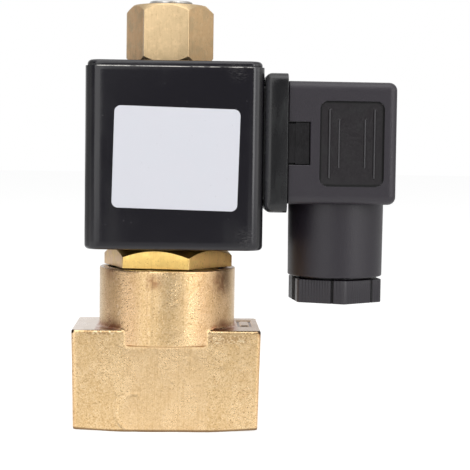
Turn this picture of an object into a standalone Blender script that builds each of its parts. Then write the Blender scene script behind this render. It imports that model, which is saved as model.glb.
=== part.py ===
"""A brass two-way solenoid valve with a moulded coil and a square cable plug.

Metres, +Z up. The valve axis is Z, the two ports face -X and +X, and the cable
plug sits on the +X side of the coil. The origin is the middle of the foot.
"""
import math

import bmesh
import bpy
from mathutils import Matrix, Vector

MM = 0.001

# Clearances
SEAT = 0.2 * MM
FIT = 0.2 * MM
RUN = 0.3 * MM
OVERCUT = 1.0 * MM

# Facets on round pieces: outside, inside, and small
ROUND = 48
INNER_ROUND = 32
SMALL_ROUND = 20

# Forged valve body
BODY_WIDTH = 39.2 * MM
BODY_DRAFT = 0.45 * MM
BODY_DEPTH = 23.3 * MM
BODY_HEIGHT = 21.2 * MM
BODY_EDGE = 1.0 * MM
BODY_CROWN = 0.5 * MM
BODY_FOOT = 18.0 * MM
BOSS_RADIUS = 14.4 * MM
BOSS_HEIGHT = 12.4 * MM
BOSS_DROP = 3.2 * MM
BOSS_CHAMFER = 0.4 * MM

# Ports and passages
PORT_RADIUS = 5.9 * MM
PORT_DEPTH = 11.5 * MM
PORT_HEIGHT = 10.4 * MM
PORT_CHAMFER = 0.9 * MM
PORT_FACE_RADIUS = 8.8 * MM
PORT_FACE_CUT = 1.0 * MM
PASSAGE_RADIUS = 2.4 * MM
ORIFICE_RADIUS = 2.0 * MM
DROP_RADIUS = 1.9 * MM
FLOOR_WALL = 1.6 * MM
VALVE_SEAT_RADIUS = 3.6 * MM
VALVE_SEAT_HEIGHT = 1.5 * MM
CHAMBER_RADIUS = 9.2 * MM
THREAD_RADIUS = 11.0 * MM
THREAD_DEPTH = 8.0 * MM
RING_GROOVE_WIDTH = 1.6 * MM
RING_GROOVE_DEPTH = 2.0 * MM
RING_SECTION = 0.75 * MM

# Base nut and guide tube
BASE_NUT_FLATS = 24.0 * MM
BASE_NUT_HEIGHT = 3.9 * MM
BASE_NUT_CHAMFER = 37.0
BASE_NUT_TURN = -11.2
NUT_LAND = 0.3 * MM
TUBE_RADIUS = 6.7 * MM
TUBE_WALL = 0.7 * MM
TUBE_FLANGE = 1.0 * MM
TUBE_FLANGE_GRIP = 0.9 * MM

# Armature, its seal and spring, and the fixed core
ARMATURE_LENGTH = 32.0 * MM
STROKE = 1.8 * MM
SEAL_RADIUS = 4.4 * MM
SEAL_THICKNESS = 2.6 * MM
SEAL_PROUD = 0.3 * MM
SPRING_POCKET_RADIUS = 3.6 * MM
SPRING_POCKET_DEPTH = 10.0 * MM
SPRING_WIRE = 0.35 * MM
SPRING_TURNS = 7
CORE_SHOULDER = 1.6 * MM
STUD_RADIUS = 4.75 * MM
STUD_PROUD = 0.9 * MM
STUD_CHAMFER = 0.4 * MM
ARMATURE_CHAMFER = 0.5 * MM
SHADING_MIDDLE = 4.6 * MM
SHADING_WIDTH = 0.9 * MM
SHADING_DEPTH = 1.4 * MM

# Coil nut
COIL_NUT_FLATS = 16.0 * MM
COIL_NUT_HEIGHT = 11.8 * MM
COIL_NUT_CHAMFER = 45.0
COIL_NUT_TURN = -5.0
COIL_NUT_EDGE = 0.9 * MM

# Moulded coil
COIL_WIDTH = 36.4 * MM
COIL_DEPTH = 30.0 * MM
COIL_HEIGHT = 38.4 * MM
COIL_OFFSET = 1.3 * MM
COIL_CORNER = 3.2 * MM
COIL_RIM = 0.9 * MM
COIL_LIP_HEIGHT = 1.2 * MM
COIL_LIP_STEP = 0.4 * MM
COIL_SKIN = 1.7 * MM
YOKE_THICKNESS = 2.0 * MM
YOKE_DEPTH = 20.0 * MM
BOBBIN_WALL = 1.0 * MM
BOBBIN_FLANGE = 1.5 * MM
WINDING_INSET = 0.6 * MM
LABEL_WIDTH = 25.7 * MM
LABEL_HEIGHT = 20.6 * MM
LABEL_THICKNESS = 0.15 * MM
LABEL_GAP = 0.05 * MM
LABEL_CORNER = 0.9 * MM
LABEL_DROP = 0.6 * MM
LABEL_TURN = 1.35

# Terminal base on the side of the coil
BASE_SIZE = 28.4 * MM
BASE_THICKNESS = 4.6 * MM
BASE_CORNER = 2.0 * MM
BASE_RIM = 1.4 * MM
BASE_RISE = 2.8 * MM
TENON_SIZE = 23.0 * MM
TENON_LENGTH = 3.0 * MM
BLADE_WIDTH = 6.3 * MM
BLADE_THICKNESS = 0.8 * MM
BLADE_REACH = 8.5 * MM
BLADE_OFFSET = 9.0 * MM
INSERT_RADIUS = 2.6 * MM
INSERT_LENGTH = 4.0 * MM

# Cable plug
PLUG_DEPTH = 22.2 * MM
PLUG_WIDTH = 26.2 * MM
PLUG_HEIGHT = 24.8 * MM
PLUG_CORNER = 1.8 * MM
PLUG_RIM = 1.4 * MM
PLUG_WALL = 1.3 * MM
PLUG_END = 4.8 * MM
GASKET_THICKNESS = 1.2 * MM
WINDOW_DEPTH = 4.4 * MM
WINDOW_HEIGHT = 8.8 * MM
LATCH_SET_BACK = 0.4 * MM
PANEL_WIDTH = 12.9 * MM
PANEL_HEIGHT = 17.3 * MM
PANEL_CORNER = 1.8 * MM
PANEL_CUT = 0.5 * MM
PANEL_OFFSET = 2.0 * MM
RIB_WIDTH = 0.4 * MM
OUTER_RIB_HEIGHT = 14.2 * MM
INNER_RIB_HEIGHT = 10.0 * MM
OUTER_RIB_OFFSET = 4.6 * MM
INNER_RIB_OFFSET = 2.65 * MM
TERMINAL_LENGTH = 10.0 * MM
SOCKET_WIDTH = 7.6 * MM
SOCKET_THICKNESS = 2.2 * MM
SOCKET_LENGTH = 8.0 * MM
SOCKET_SET_BACK = 0.6 * MM
CLAMP_HEAD_RADIUS = 1.7 * MM
CLAMP_HEAD_HEIGHT = 1.4 * MM
CLAMP_SHANK_RADIUS = 1.0 * MM
SCREW_SHANK_RADIUS = 1.45 * MM
SCREW_HEAD_RADIUS = 2.7 * MM
SCREW_HEAD_HEIGHT = 2.0 * MM
SCREW_SEAL_HEIGHT = 0.8 * MM
SCREW_SLOT = 0.7 * MM

# Cable gland
GLAND_RADIUS = 10.1 * MM
GLAND_TAPER = 0.1 * MM
GLAND_LENGTH = 15.4 * MM
GLAND_BORE_RADIUS = 7.6 * MM
GLAND_BORE_DEPTH = 12.0 * MM
CABLE_HOLE_RADIUS = 4.4 * MM
GROMMET_HOLE_RADIUS = 3.5 * MM
GLAND_NUT_PEAK = 10.35 * MM
GLAND_NUT_VALLEY = 8.85 * MM
GLAND_NUT_TEETH = 6
GLAND_NUT_FLANK = 15.0
GLAND_NUT_BLUNT = 2.0
GLAND_NUT_EDGE = 0.25 * MM
GLAND_NUT_FLARE = 1.0 * MM
GLAND_NUT_HEIGHT = 5.0 * MM
GLAND_NUT_SPIGOT = 6.2 * MM
GLAND_NUT_TURN = -83.5
GLAND_NUT_GAP = 0.4 * MM
GLAND_WASHER = 0.8 * MM

# Heights that follow from the sizes above
boss_top = BODY_HEIGHT + BOSS_HEIGHT
chamber_floor = PORT_HEIGHT + PORT_RADIUS + FLOOR_WALL
seat_top = chamber_floor + VALVE_SEAT_HEIGHT
thread_floor = boss_top - THREAD_DEPTH
tube_bottom = thread_floor + SEAT
spigot_bottom = tube_bottom + TUBE_FLANGE + SEAT
base_nut_bottom = boss_top + SEAT
base_nut_top = base_nut_bottom + BASE_NUT_HEIGHT
coil_bottom = base_nut_top + SEAT
coil_top = coil_bottom + COIL_HEIGHT
coil_middle = (coil_bottom + coil_top) / 2
coil_nut_bottom = coil_top + SEAT
coil_nut_top = coil_nut_bottom + COIL_NUT_HEIGHT
stud_top = coil_nut_top + STUD_PROUD
core_top = coil_top - SEAT
tube_top = core_top - CORE_SHOULDER - SEAT
tube_bore = TUBE_RADIUS - TUBE_WALL
armature_radius = tube_bore - RUN
seal_bottom = seat_top + SEAT
armature_bottom = seal_bottom + SEAL_PROUD
armature_top = armature_bottom + ARMATURE_LENGTH
core_bottom = armature_top + STROKE + RUN
spring_bottom = armature_top - SPRING_POCKET_DEPTH + SEAT
spring_top = core_bottom - SEAT

# Places along X that follow from the sizes above
coil_left = COIL_OFFSET - COIL_WIDTH / 2
coil_right = COIL_OFFSET + COIL_WIDTH / 2
coil_bore = TUBE_RADIUS + RUN
base_back = coil_right + SEAT
base_face = base_back + BASE_THICKNESS
terminal_height = coil_middle + BASE_RISE
plug_back = base_face + SEAT
plug_face = plug_back + PLUG_DEPTH
plug_bottom = terminal_height - PLUG_HEIGHT / 2
plug_top = terminal_height + PLUG_HEIGHT / 2
cavity_end = plug_face - PLUG_END
gasket_face = plug_back + GASKET_THICKNESS
terminal_back = gasket_face + SEAT
terminal_face = terminal_back + TERMINAL_LENGTH
socket_back = terminal_back + SOCKET_SET_BACK
socket_face = socket_back + SOCKET_LENGTH
gland_x = plug_back + PLUG_DEPTH / 2
gland_bottom = plug_bottom - GLAND_LENGTH
gland_shoulder = gland_bottom + GLAND_BORE_DEPTH
gland_nut_top = gland_bottom - GLAND_NUT_GAP
gland_nut_bottom = gland_nut_top - GLAND_NUT_HEIGHT
gland_fill_radius = GLAND_BORE_RADIUS - FIT
gland_spigot_top = gland_nut_top + GLAND_NUT_SPIGOT
washer_bottom = gland_spigot_top + SEAT
grommet_bottom = washer_bottom + GLAND_WASHER + SEAT
grommet_top = gland_shoulder - SEAT
screw_hole = SCREW_SHANK_RADIUS + FIT

# Space for the magnet frame inside the coil
frame_left = coil_left + COIL_SKIN + FIT
frame_bottom = coil_bottom + COIL_SKIN + FIT
frame_top = coil_top - COIL_SKIN - FIT
bobbin_bottom = frame_bottom + YOKE_THICKNESS + SEAT
bobbin_top = frame_top - YOKE_THICKNESS - SEAT
bobbin_radius = min(-frame_left - YOKE_THICKNESS - FIT, COIL_DEPTH / 2 - COIL_SKIN - FIT)
frame_right = bobbin_radius - FIT

# The three blades: offset from the plug's middle in Y and Z, and which way each lies
BLADES = {"line": (0, 1), "neutral": (0, -1), "earth": (1, 0)}


def start():
    """Empty the file and make one collection for the parts and one for the cutters."""
    for old in list(bpy.data.objects):
        bpy.data.objects.remove(old, do_unlink=True)
    scene = bpy.context.scene.collection
    parts = bpy.data.collections.new("solenoid_valve")
    cutters = bpy.data.collections.new("cutters")
    scene.children.link(parts)
    scene.children.link(cutters)
    return parts, cutters


PARTS, CUTTERS = start()


def material(name, colour, roughness, metallic=0.0):
    made = bpy.data.materials.new(name)
    made.use_nodes = True
    shader = made.node_tree.nodes["Principled BSDF"]
    shader.inputs["Base Color"].default_value = (*colour, 1.0)
    shader.inputs["Roughness"].default_value = roughness
    shader.inputs["Metallic"].default_value = metallic
    return made


def add(name, mesh, finish=None):
    """Link a mesh as a part, or as a cutter where no finish is given."""
    made = bpy.data.objects.new(name, mesh)
    if finish is None:
        CUTTERS.objects.link(made)
        made.hide_render = True
        made.display_type = "WIRE"
        return made
    PARTS.objects.link(made)
    mesh.materials.append(material(name, *finish))
    return made


def from_bmesh(name, shape, finish=None, smooth=False):
    bmesh.ops.recalc_face_normals(shape, faces=shape.faces)
    mesh = bpy.data.meshes.new(name)
    shape.to_mesh(mesh)
    shape.free()
    if smooth:
        mesh.shade_smooth()
        mesh.set_sharp_from_angle(angle=math.radians(35))
    return add(name, mesh, finish)


def box(name, low, high, finish=None):
    shape = bmesh.new()
    bmesh.ops.create_cube(shape, size=1.0)
    low = Vector(low)
    high = Vector(high)
    bmesh.ops.scale(shape, vec=high - low, verts=shape.verts)
    bmesh.ops.translate(shape, vec=(low + high) / 2, verts=shape.verts)
    return from_bmesh(name, shape, finish)


def rounded_box(name, low, high, axis, corner, rims, finish=None):
    """A box with its four edges along one axis rounded, then the rim at its low and high end."""
    shape = bmesh.new()
    bmesh.ops.create_cube(shape, size=1.0)
    low = Vector(low)
    high = Vector(high)
    bmesh.ops.scale(shape, vec=high - low, verts=shape.verts)
    bmesh.ops.translate(shape, vec=(low + high) / 2, verts=shape.verts)
    along = [edge for edge in shape.edges
             if abs(edge.verts[0].co[axis] - edge.verts[1].co[axis]) > (high - low)[axis] / 2]
    bmesh.ops.bevel(shape, geom=along, offset=corner, segments=5, profile=0.5, affect="EDGES")
    for end, rim in zip((low[axis], high[axis]), rims):
        if rim > 0:
            edges = [edge for edge in shape.edges if all(abs(v.co[axis] - end) < 1e-6 for v in edge.verts)]
            bmesh.ops.bevel(shape, geom=edges, offset=min(rim, 0.8 * corner), segments=3, profile=0.5,
                            affect="EDGES")
    return from_bmesh(name, shape, finish, smooth=True)


def rod(name, radius, first, last, finish=None, segments=ROUND, last_radius=None):
    """A cylinder, or a cone, between two points."""
    first = Vector(first)
    last = Vector(last)
    reach = last - first
    shape = bmesh.new()
    bmesh.ops.create_cone(shape, cap_ends=True, segments=segments, radius1=radius,
                          radius2=radius if last_radius is None else last_radius, depth=reach.length)
    turn = Vector((0, 0, 1)).rotation_difference(reach).to_matrix().to_4x4()
    bmesh.ops.transform(shape, matrix=Matrix.Translation((first + last) / 2) @ turn, verts=shape.verts)
    return from_bmesh(name, shape, finish, smooth=True)


def turned(name, profile, finish=None, segments=ROUND, centre=(0, 0, 0), along_x=False):
    """Spin a profile of (radius, height) points, listed down its outer side, about an axis."""
    mesh = bpy.data.meshes.new(name)
    points = [(radius, 0, height) for radius, height in profile]
    edges = [(i, i + 1) for i in range(len(points) - 1)]
    if profile[0][0] > 0:
        edges.append((len(points) - 1, 0))
    mesh.from_pydata(points, edges, [])
    made = add(name, mesh, finish)
    spin = made.modifiers.new("spin", "SCREW")
    spin.axis = "Z"
    spin.steps = segments
    spin.render_steps = segments
    spin.use_merge_vertices = True
    spin.merge_threshold = 1e-6
    spin.use_smooth_shade = True
    made.location = centre
    if along_x:
        made.rotation_euler = (0, math.pi / 2, 0)
    return made


def solid_from_curve(name, curve, place, finish=None):
    """Turn a curve into a closed mesh with its end caps welded on."""
    drawn = bpy.data.objects.new(name + "_drawn", curve)
    CUTTERS.objects.link(drawn)
    drawn.matrix_world = place
    graph = bpy.context.evaluated_depsgraph_get()
    mesh = bpy.data.meshes.new_from_object(drawn.evaluated_get(graph))
    mesh.transform(place)
    bpy.data.objects.remove(drawn, do_unlink=True)
    shape = bmesh.new()
    shape.from_mesh(mesh)
    bpy.data.meshes.remove(mesh)
    bmesh.ops.remove_doubles(shape, verts=shape.verts, dist=1e-6)
    return from_bmesh(name, shape, finish)


def outline(name, points, first, last, axis, finish=None):
    """Extrude a flat closed outline between two places along Y or Z."""
    curve = bpy.data.curves.new(name, "CURVE")
    curve.dimensions = "2D"
    curve.fill_mode = "BOTH"
    curve.extrude = abs(last - first) / 2
    spline = curve.splines.new("POLY")
    spline.points.add(len(points) - 1)
    for point, (u, v) in zip(spline.points, points):
        point.co = (u, v, 0, 1)
    spline.use_cyclic_u = True
    middle = (first + last) / 2
    place = Matrix.Translation((0, 0, middle))
    if axis == "Y":
        place = Matrix.Translation((0, middle, 0)) @ Matrix.Rotation(math.pi / 2, 4, "X")
    return solid_from_curve(name, curve, place, finish)


def combine(target, operation, others):
    for other in others:
        step = target.modifiers.new(other.name, "BOOLEAN")
        step.operation = operation
        step.solver = "EXACT"
        step.object = other


def cut(target, *others):
    combine(target, "DIFFERENCE", others)


def join(target, *others):
    combine(target, "UNION", others)


def trim(target, *others):
    combine(target, "INTERSECT", others)


def soften(target, width, segments=2):
    """Round every sharp edge of a plain solid before anything is cut into it."""
    shape = bmesh.new()
    shape.from_mesh(target.data)
    sharp = [edge for edge in shape.edges if edge.calc_face_angle(0) > math.radians(40)]
    bmesh.ops.bevel(shape, geom=sharp, offset=width, segments=segments, profile=0.5, affect="EDGES")
    shape.to_mesh(target.data)
    shape.free()
    target.data.shade_smooth()
    target.data.set_sharp_from_angle(angle=math.radians(35))


def rounded_rectangle(width, height, corner, steps=4):
    points = []
    for turn, (u, v) in enumerate(((1, 1), (-1, 1), (-1, -1), (1, -1))):
        for i in range(steps + 1):
            angle = math.pi / 2 * (turn + i / steps)
            points.append((u * (width / 2 - corner) + corner * math.cos(angle),
                           v * (height / 2 - corner) + corner * math.sin(angle)))
    return points


# Finishes: colour, roughness, metallic
BRASS = ((0.72, 0.50, 0.22), 0.45, 1.0)
BRIGHT_BRASS = ((0.80, 0.58, 0.26), 0.3, 1.0)
STEEL = ((0.62, 0.62, 0.62), 0.35, 1.0)
COPPER = ((0.72, 0.32, 0.18), 0.4, 1.0)
MOULDED = ((0.02, 0.02, 0.022), 0.35)
PLASTIC = ((0.045, 0.045, 0.048), 0.55)
NATURAL = ((0.55, 0.52, 0.45), 0.5)
RUBBER = ((0.03, 0.03, 0.03), 0.8)
PAPER = ((0.8, 0.8, 0.8), 0.5)


def body_outline():
    """Front view of the block: drafted sides, a flat foot, and ends that curve up a little."""
    top = BODY_WIDTH / 2
    bottom = top - BODY_DRAFT
    foot = BODY_FOOT / 2
    points = [(top, BODY_HEIGHT), (-top, BODY_HEIGHT)]
    steps = 4
    left = []
    for i in range(steps + 1):
        share = 1 - i / steps
        left.append((-foot - (bottom - foot) * share, BODY_CROWN * share ** 2))
    points += left
    points += [(-x, z) for x, z in reversed(left)]
    return points


def make_body():
    body = outline("valve_body", body_outline(), -BODY_DEPTH / 2, BODY_DEPTH / 2, "Y", BRASS)
    soften(body, BODY_EDGE)
    ledge = BODY_HEIGHT - BOSS_DROP
    boss = turned("boss", [(0, boss_top), (BOSS_RADIUS - BOSS_CHAMFER, boss_top),
                           (BOSS_RADIUS, boss_top - BOSS_CHAMFER), (BOSS_RADIUS, ledge + BOSS_CHAMFER),
                           (BOSS_RADIUS - BOSS_CHAMFER, ledge), (0, ledge)])
    join(body, boss)
    groove = THREAD_RADIUS + RING_GROOVE_WIDTH
    chamber = turned("chamber_cut", [
        (0, boss_top + OVERCUT), (groove, boss_top + OVERCUT), (groove, boss_top - RING_GROOVE_DEPTH),
        (THREAD_RADIUS, boss_top - RING_GROOVE_DEPTH), (THREAD_RADIUS, thread_floor),
        (CHAMBER_RADIUS, thread_floor), (CHAMBER_RADIUS, chamber_floor),
        (VALVE_SEAT_RADIUS, chamber_floor), (VALVE_SEAT_RADIUS, seat_top), (0, seat_top)],
        segments=INNER_ROUND)
    drill_end = PORT_HEIGHT - PASSAGE_RADIUS / 3
    orifice = rod("orifice_cut", ORIFICE_RADIUS, (0, 0, drill_end), (0, 0, seat_top + OVERCUT),
                  segments=SMALL_ROUND)
    drop_x = (VALVE_SEAT_RADIUS + CHAMBER_RADIUS) / 2
    drop = rod("outlet_drop_cut", DROP_RADIUS, (drop_x, 0, drill_end),
               (drop_x, 0, chamber_floor + OVERCUT), segments=SMALL_ROUND)
    cut(body, chamber, orifice, drop)
    face = BODY_WIDTH / 2 - PORT_FACE_CUT
    for name, side, reach in (("inlet", -1, ORIFICE_RADIUS / -3), ("outlet", 1, drop_x - DROP_RADIUS / 3)):
        spot = rod(name + "_face_cut", PORT_FACE_RADIUS, (side * face, 0, PORT_HEIGHT),
                   (side * (face + OVERCUT * 2), 0, PORT_HEIGHT), segments=36)
        port = turned(name + "_port_cut", [
            (0, OVERCUT), (PORT_RADIUS + PORT_CHAMFER, OVERCUT), (PORT_RADIUS + PORT_CHAMFER, 0),
            (PORT_RADIUS, -PORT_CHAMFER), (PORT_RADIUS, -PORT_DEPTH), (0, -PORT_DEPTH)], segments=36)
        port.matrix_world = (Matrix.Translation((side * face, 0, PORT_HEIGHT))
                             @ Matrix.Rotation(side * math.pi / 2, 4, "Y"))
        passage = rod(name + "_passage_cut", PASSAGE_RADIUS,
                      (side * (face - PORT_DEPTH + OVERCUT), 0, PORT_HEIGHT), (side * reach, 0, PORT_HEIGHT),
                      segments=SMALL_ROUND)
        cut(body, spot, port, passage)
    return body


def hex_form(name, flats, bottom, top, chamfer, turn, low_chamfer, finish):
    """A hexagon whose corners are turned off at the top, and a little at the bottom."""
    corner = flats / 2 / math.cos(math.pi / 6)
    slope = math.tan(math.radians(chamfer))
    shape = bmesh.new()
    bmesh.ops.create_cone(shape, cap_ends=True, segments=6, radius1=corner, radius2=corner,
                          depth=top - bottom)
    spin = Matrix.Rotation(math.radians(30 + turn), 4, "Z")
    bmesh.ops.transform(shape, matrix=Matrix.Translation((0, 0, (bottom + top) / 2)) @ spin,
                        verts=shape.verts)
    nut = from_bmesh(name, shape, finish)
    land = flats / 2 - NUT_LAND
    wide = corner + OVERCUT
    form = turned(name + "_form", [
        (0, top + OVERCUT), (land - OVERCUT / slope, top + OVERCUT), (wide, top - (wide - land) * slope),
        (wide, bottom + low_chamfer + OVERCUT), (corner - low_chamfer - OVERCUT, bottom - OVERCUT),
        (0, bottom - OVERCUT)])
    trim(nut, form)
    return nut


def make_base_nut():
    nut = hex_form("base_nut", BASE_NUT_FLATS, base_nut_bottom, base_nut_top, BASE_NUT_CHAMFER,
                   BASE_NUT_TURN, -OVERCUT, BRIGHT_BRASS)
    shank = THREAD_RADIUS - FIT
    spigot = rod("base_nut_spigot", shank, (0, 0, spigot_bottom), (0, 0, base_nut_bottom + OVERCUT))
    bore = rod("base_nut_bore_cut", TUBE_RADIUS + FIT, (0, 0, spigot_bottom - OVERCUT),
               (0, 0, base_nut_top + OVERCUT), segments=INNER_ROUND)
    join(nut, spigot)
    cut(nut, bore)
    return nut


def ring(name, middle, section, height, finish, segments=INNER_ROUND, sides=8):
    """An O-ring: a circle of the given section, spun about Z."""
    profile = [(middle + section * math.sin(2 * math.pi * i / sides),
                height + section * math.cos(2 * math.pi * i / sides)) for i in range(sides)]
    return turned(name, profile, finish, segments)


def make_stem():
    """Everything fixed above the body: O-ring, guide tube, core, shading ring and coil nut."""
    ring("base_o_ring", THREAD_RADIUS - FIT + (RING_GROOVE_WIDTH + FIT) / 2, RING_SECTION,
         boss_top - RING_GROOVE_DEPTH + SEAT + RING_SECTION, RUBBER)
    flange = CHAMBER_RADIUS + TUBE_FLANGE_GRIP
    turned("guide_tube", [
        (tube_bore, tube_top), (TUBE_RADIUS, tube_top), (TUBE_RADIUS, tube_bottom + TUBE_FLANGE),
        (flange, tube_bottom + TUBE_FLANGE), (flange, tube_bottom), (tube_bore, tube_bottom)],
        STEEL, INNER_ROUND)
    plug = tube_bore - FIT
    inner = SHADING_MIDDLE - SHADING_WIDTH / 2
    outer = SHADING_MIDDLE + SHADING_WIDTH / 2
    turned("fixed_core", [
        (0, stud_top), (STUD_RADIUS - STUD_CHAMFER, stud_top), (STUD_RADIUS, stud_top - STUD_CHAMFER),
        (STUD_RADIUS, core_top), (TUBE_RADIUS, core_top), (TUBE_RADIUS, tube_top + SEAT),
        (plug, tube_top + SEAT), (plug, core_bottom), (outer, core_bottom),
        (outer, core_bottom + SHADING_DEPTH), (inner, core_bottom + SHADING_DEPTH),
        (inner, core_bottom), (0, core_bottom)], STEEL, INNER_ROUND)
    turned("shading_ring", [
        (outer - FIT, core_bottom + SHADING_DEPTH - FIT), (outer - FIT, core_bottom),
        (inner + FIT, core_bottom), (inner + FIT, core_bottom + SHADING_DEPTH - FIT)], COPPER, INNER_ROUND)
    nut = hex_form("coil_nut", COIL_NUT_FLATS, coil_nut_bottom, coil_nut_top, COIL_NUT_CHAMFER,
                   COIL_NUT_TURN, COIL_NUT_EDGE, BRIGHT_BRASS)
    bore = rod("coil_nut_bore_cut", STUD_RADIUS + FIT, (0, 0, coil_nut_bottom - OVERCUT),
               (0, 0, coil_nut_top + OVERCUT), segments=INNER_ROUND)
    cut(nut, bore)


def make_spring():
    """One unbroken helix between the armature's pocket and the core."""
    bottom = spring_bottom + SPRING_WIRE
    rise = spring_top - SPRING_WIRE - bottom
    coil_radius = SPRING_POCKET_RADIUS - FIT - SPRING_WIRE
    per_turn = 10
    count = SPRING_TURNS * per_turn
    path = []
    for i in range(count + 1):
        angle = 2 * math.pi * i / per_turn
        path.append(Vector((coil_radius * math.cos(angle), coil_radius * math.sin(angle),
                            bottom + rise * i / count)))
    gap = min((path[i] - path[j]).length for i in range(len(path)) for j in range(i + 6, len(path)))
    print("return spring: least gap to itself %.2f mm" % ((gap - 2 * SPRING_WIRE) / MM))
    curve = bpy.data.curves.new("return_spring", "CURVE")
    curve.dimensions = "3D"
    curve.bevel_depth = SPRING_WIRE
    curve.bevel_resolution = 1
    curve.use_fill_caps = True
    spline = curve.splines.new("POLY")
    spline.points.add(count)
    for point, place in zip(spline.points, path):
        point.co = (*place, 1)
    solid_from_curve("return_spring", curve, Matrix.Identity(4), STEEL)


def make_armature():
    pocket = SEAL_RADIUS + FIT
    pocket_top = seal_bottom + SEAL_THICKNESS + SEAT
    pocket_floor = armature_top - SPRING_POCKET_DEPTH
    turned("armature", [
        (0, pocket_floor), (SPRING_POCKET_RADIUS, pocket_floor), (SPRING_POCKET_RADIUS, armature_top),
        (armature_radius - ARMATURE_CHAMFER, armature_top),
        (armature_radius, armature_top - ARMATURE_CHAMFER),
        (armature_radius, armature_bottom + ARMATURE_CHAMFER),
        (armature_radius - ARMATURE_CHAMFER, armature_bottom),
        (pocket, armature_bottom), (pocket, pocket_top), (0, pocket_top)], STEEL, INNER_ROUND)
    turned("armature_seal", [
        (0, seal_bottom + SEAL_THICKNESS), (SEAL_RADIUS, seal_bottom + SEAL_THICKNESS),
        (SEAL_RADIUS, seal_bottom), (0, seal_bottom)], RUBBER, INNER_ROUND)


def make_coil():
    shell = rounded_box("coil_housing", (coil_left, -COIL_DEPTH / 2, coil_bottom),
                        (coil_right, COIL_DEPTH / 2, coil_top - COIL_LIP_HEIGHT), 2, COIL_CORNER,
                        (COIL_RIM, 0), MOULDED)
    lid = rounded_box("coil_lid", (coil_left + COIL_LIP_STEP, COIL_LIP_STEP - COIL_DEPTH / 2,
                                   coil_top - COIL_LIP_HEIGHT - OVERCUT),
                      (coil_right - COIL_LIP_STEP, COIL_DEPTH / 2 - COIL_LIP_STEP, coil_top),
                      2, COIL_CORNER - COIL_LIP_STEP, (0, COIL_RIM))
    join(shell, lid)
    bore = rod("coil_bore_cut", coil_bore, (0, 0, coil_bottom - OVERCUT), (0, 0, coil_top + OVERCUT),
               segments=INNER_ROUND)
    spool = rod("coil_spool_cut", bobbin_radius + FIT, (0, 0, bobbin_bottom - FIT), (0, 0, bobbin_top + FIT),
                segments=INNER_ROUND)
    deep = YOKE_DEPTH / 2 + FIT
    slots = []
    for name, low, high in (
            ("bottom", (frame_left - FIT, -deep, frame_bottom - FIT),
             (frame_right + FIT, deep, bobbin_bottom)),
            ("top", (frame_left - FIT, -deep, bobbin_top), (frame_right + FIT, deep, frame_top + FIT)),
            ("side", (frame_left - FIT, -deep, frame_bottom),
             (frame_left + YOKE_THICKNESS + FIT, deep, frame_top))):
        slots.append(box("coil_%s_slot_cut" % name, low, high))
    half = TENON_SIZE / 2 + FIT
    mortise = box("coil_mortise_cut", (coil_right - TENON_LENGTH - FIT, -half, terminal_height - half),
                  (coil_right + OVERCUT, half, terminal_height + half))
    cut(shell, spool, *slots, bore, mortise)

    yoke = box("yoke", (frame_left, -YOKE_DEPTH / 2, frame_bottom), (frame_right, YOKE_DEPTH / 2, frame_top),
               STEEL)
    inside = box("yoke_inside_cut", (frame_left + YOKE_THICKNESS, -YOKE_DEPTH, frame_bottom + YOKE_THICKNESS),
                 (frame_right + OVERCUT, YOKE_DEPTH, frame_top - YOKE_THICKNESS))
    yoke_bore = rod("yoke_bore_cut", coil_bore, (0, 0, frame_bottom - OVERCUT), (0, 0, frame_top + OVERCUT),
                    segments=INNER_ROUND)
    cut(yoke, inside, yoke_bore)

    spool_wall = coil_bore + BOBBIN_WALL
    turned("bobbin", [
        (coil_bore, bobbin_top), (bobbin_radius, bobbin_top), (bobbin_radius, bobbin_top - BOBBIN_FLANGE),
        (spool_wall, bobbin_top - BOBBIN_FLANGE), (spool_wall, bobbin_bottom + BOBBIN_FLANGE),
        (bobbin_radius, bobbin_bottom + BOBBIN_FLANGE), (bobbin_radius, bobbin_bottom),
        (coil_bore, bobbin_bottom)], NATURAL, INNER_ROUND)
    wound = bobbin_radius - WINDING_INSET
    turned("winding", [
        (spool_wall + FIT, bobbin_top - BOBBIN_FLANGE - FIT), (wound, bobbin_top - BOBBIN_FLANGE - FIT),
        (wound, bobbin_bottom + BOBBIN_FLANGE + FIT),
        (spool_wall + FIT, bobbin_bottom + BOBBIN_FLANGE + FIT)], COPPER, INNER_ROUND)

    back = -COIL_DEPTH / 2 - LABEL_GAP
    label = outline("label", rounded_rectangle(LABEL_WIDTH, LABEL_HEIGHT, LABEL_CORNER, 3),
                    -LABEL_THICKNESS, 0, "Y", PAPER)
    label.matrix_world = (Matrix.Translation((COIL_OFFSET, back, coil_middle - LABEL_DROP))
                          @ Matrix.Rotation(math.radians(LABEL_TURN), 4, "Y"))


def blade_box(name, blade, width, thickness, first, last, finish=None):
    """A flat bar along X at the place, and lying the way, of one of the three blades."""
    across, up = BLADES[blade]
    y = across * BLADE_OFFSET
    z = terminal_height + up * BLADE_OFFSET
    half_y = (thickness if across else width) / 2
    half_z = (width if across else thickness) / 2
    return box(name, (first, y - half_y, z - half_z), (last, y + half_y, z + half_z), finish)


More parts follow.
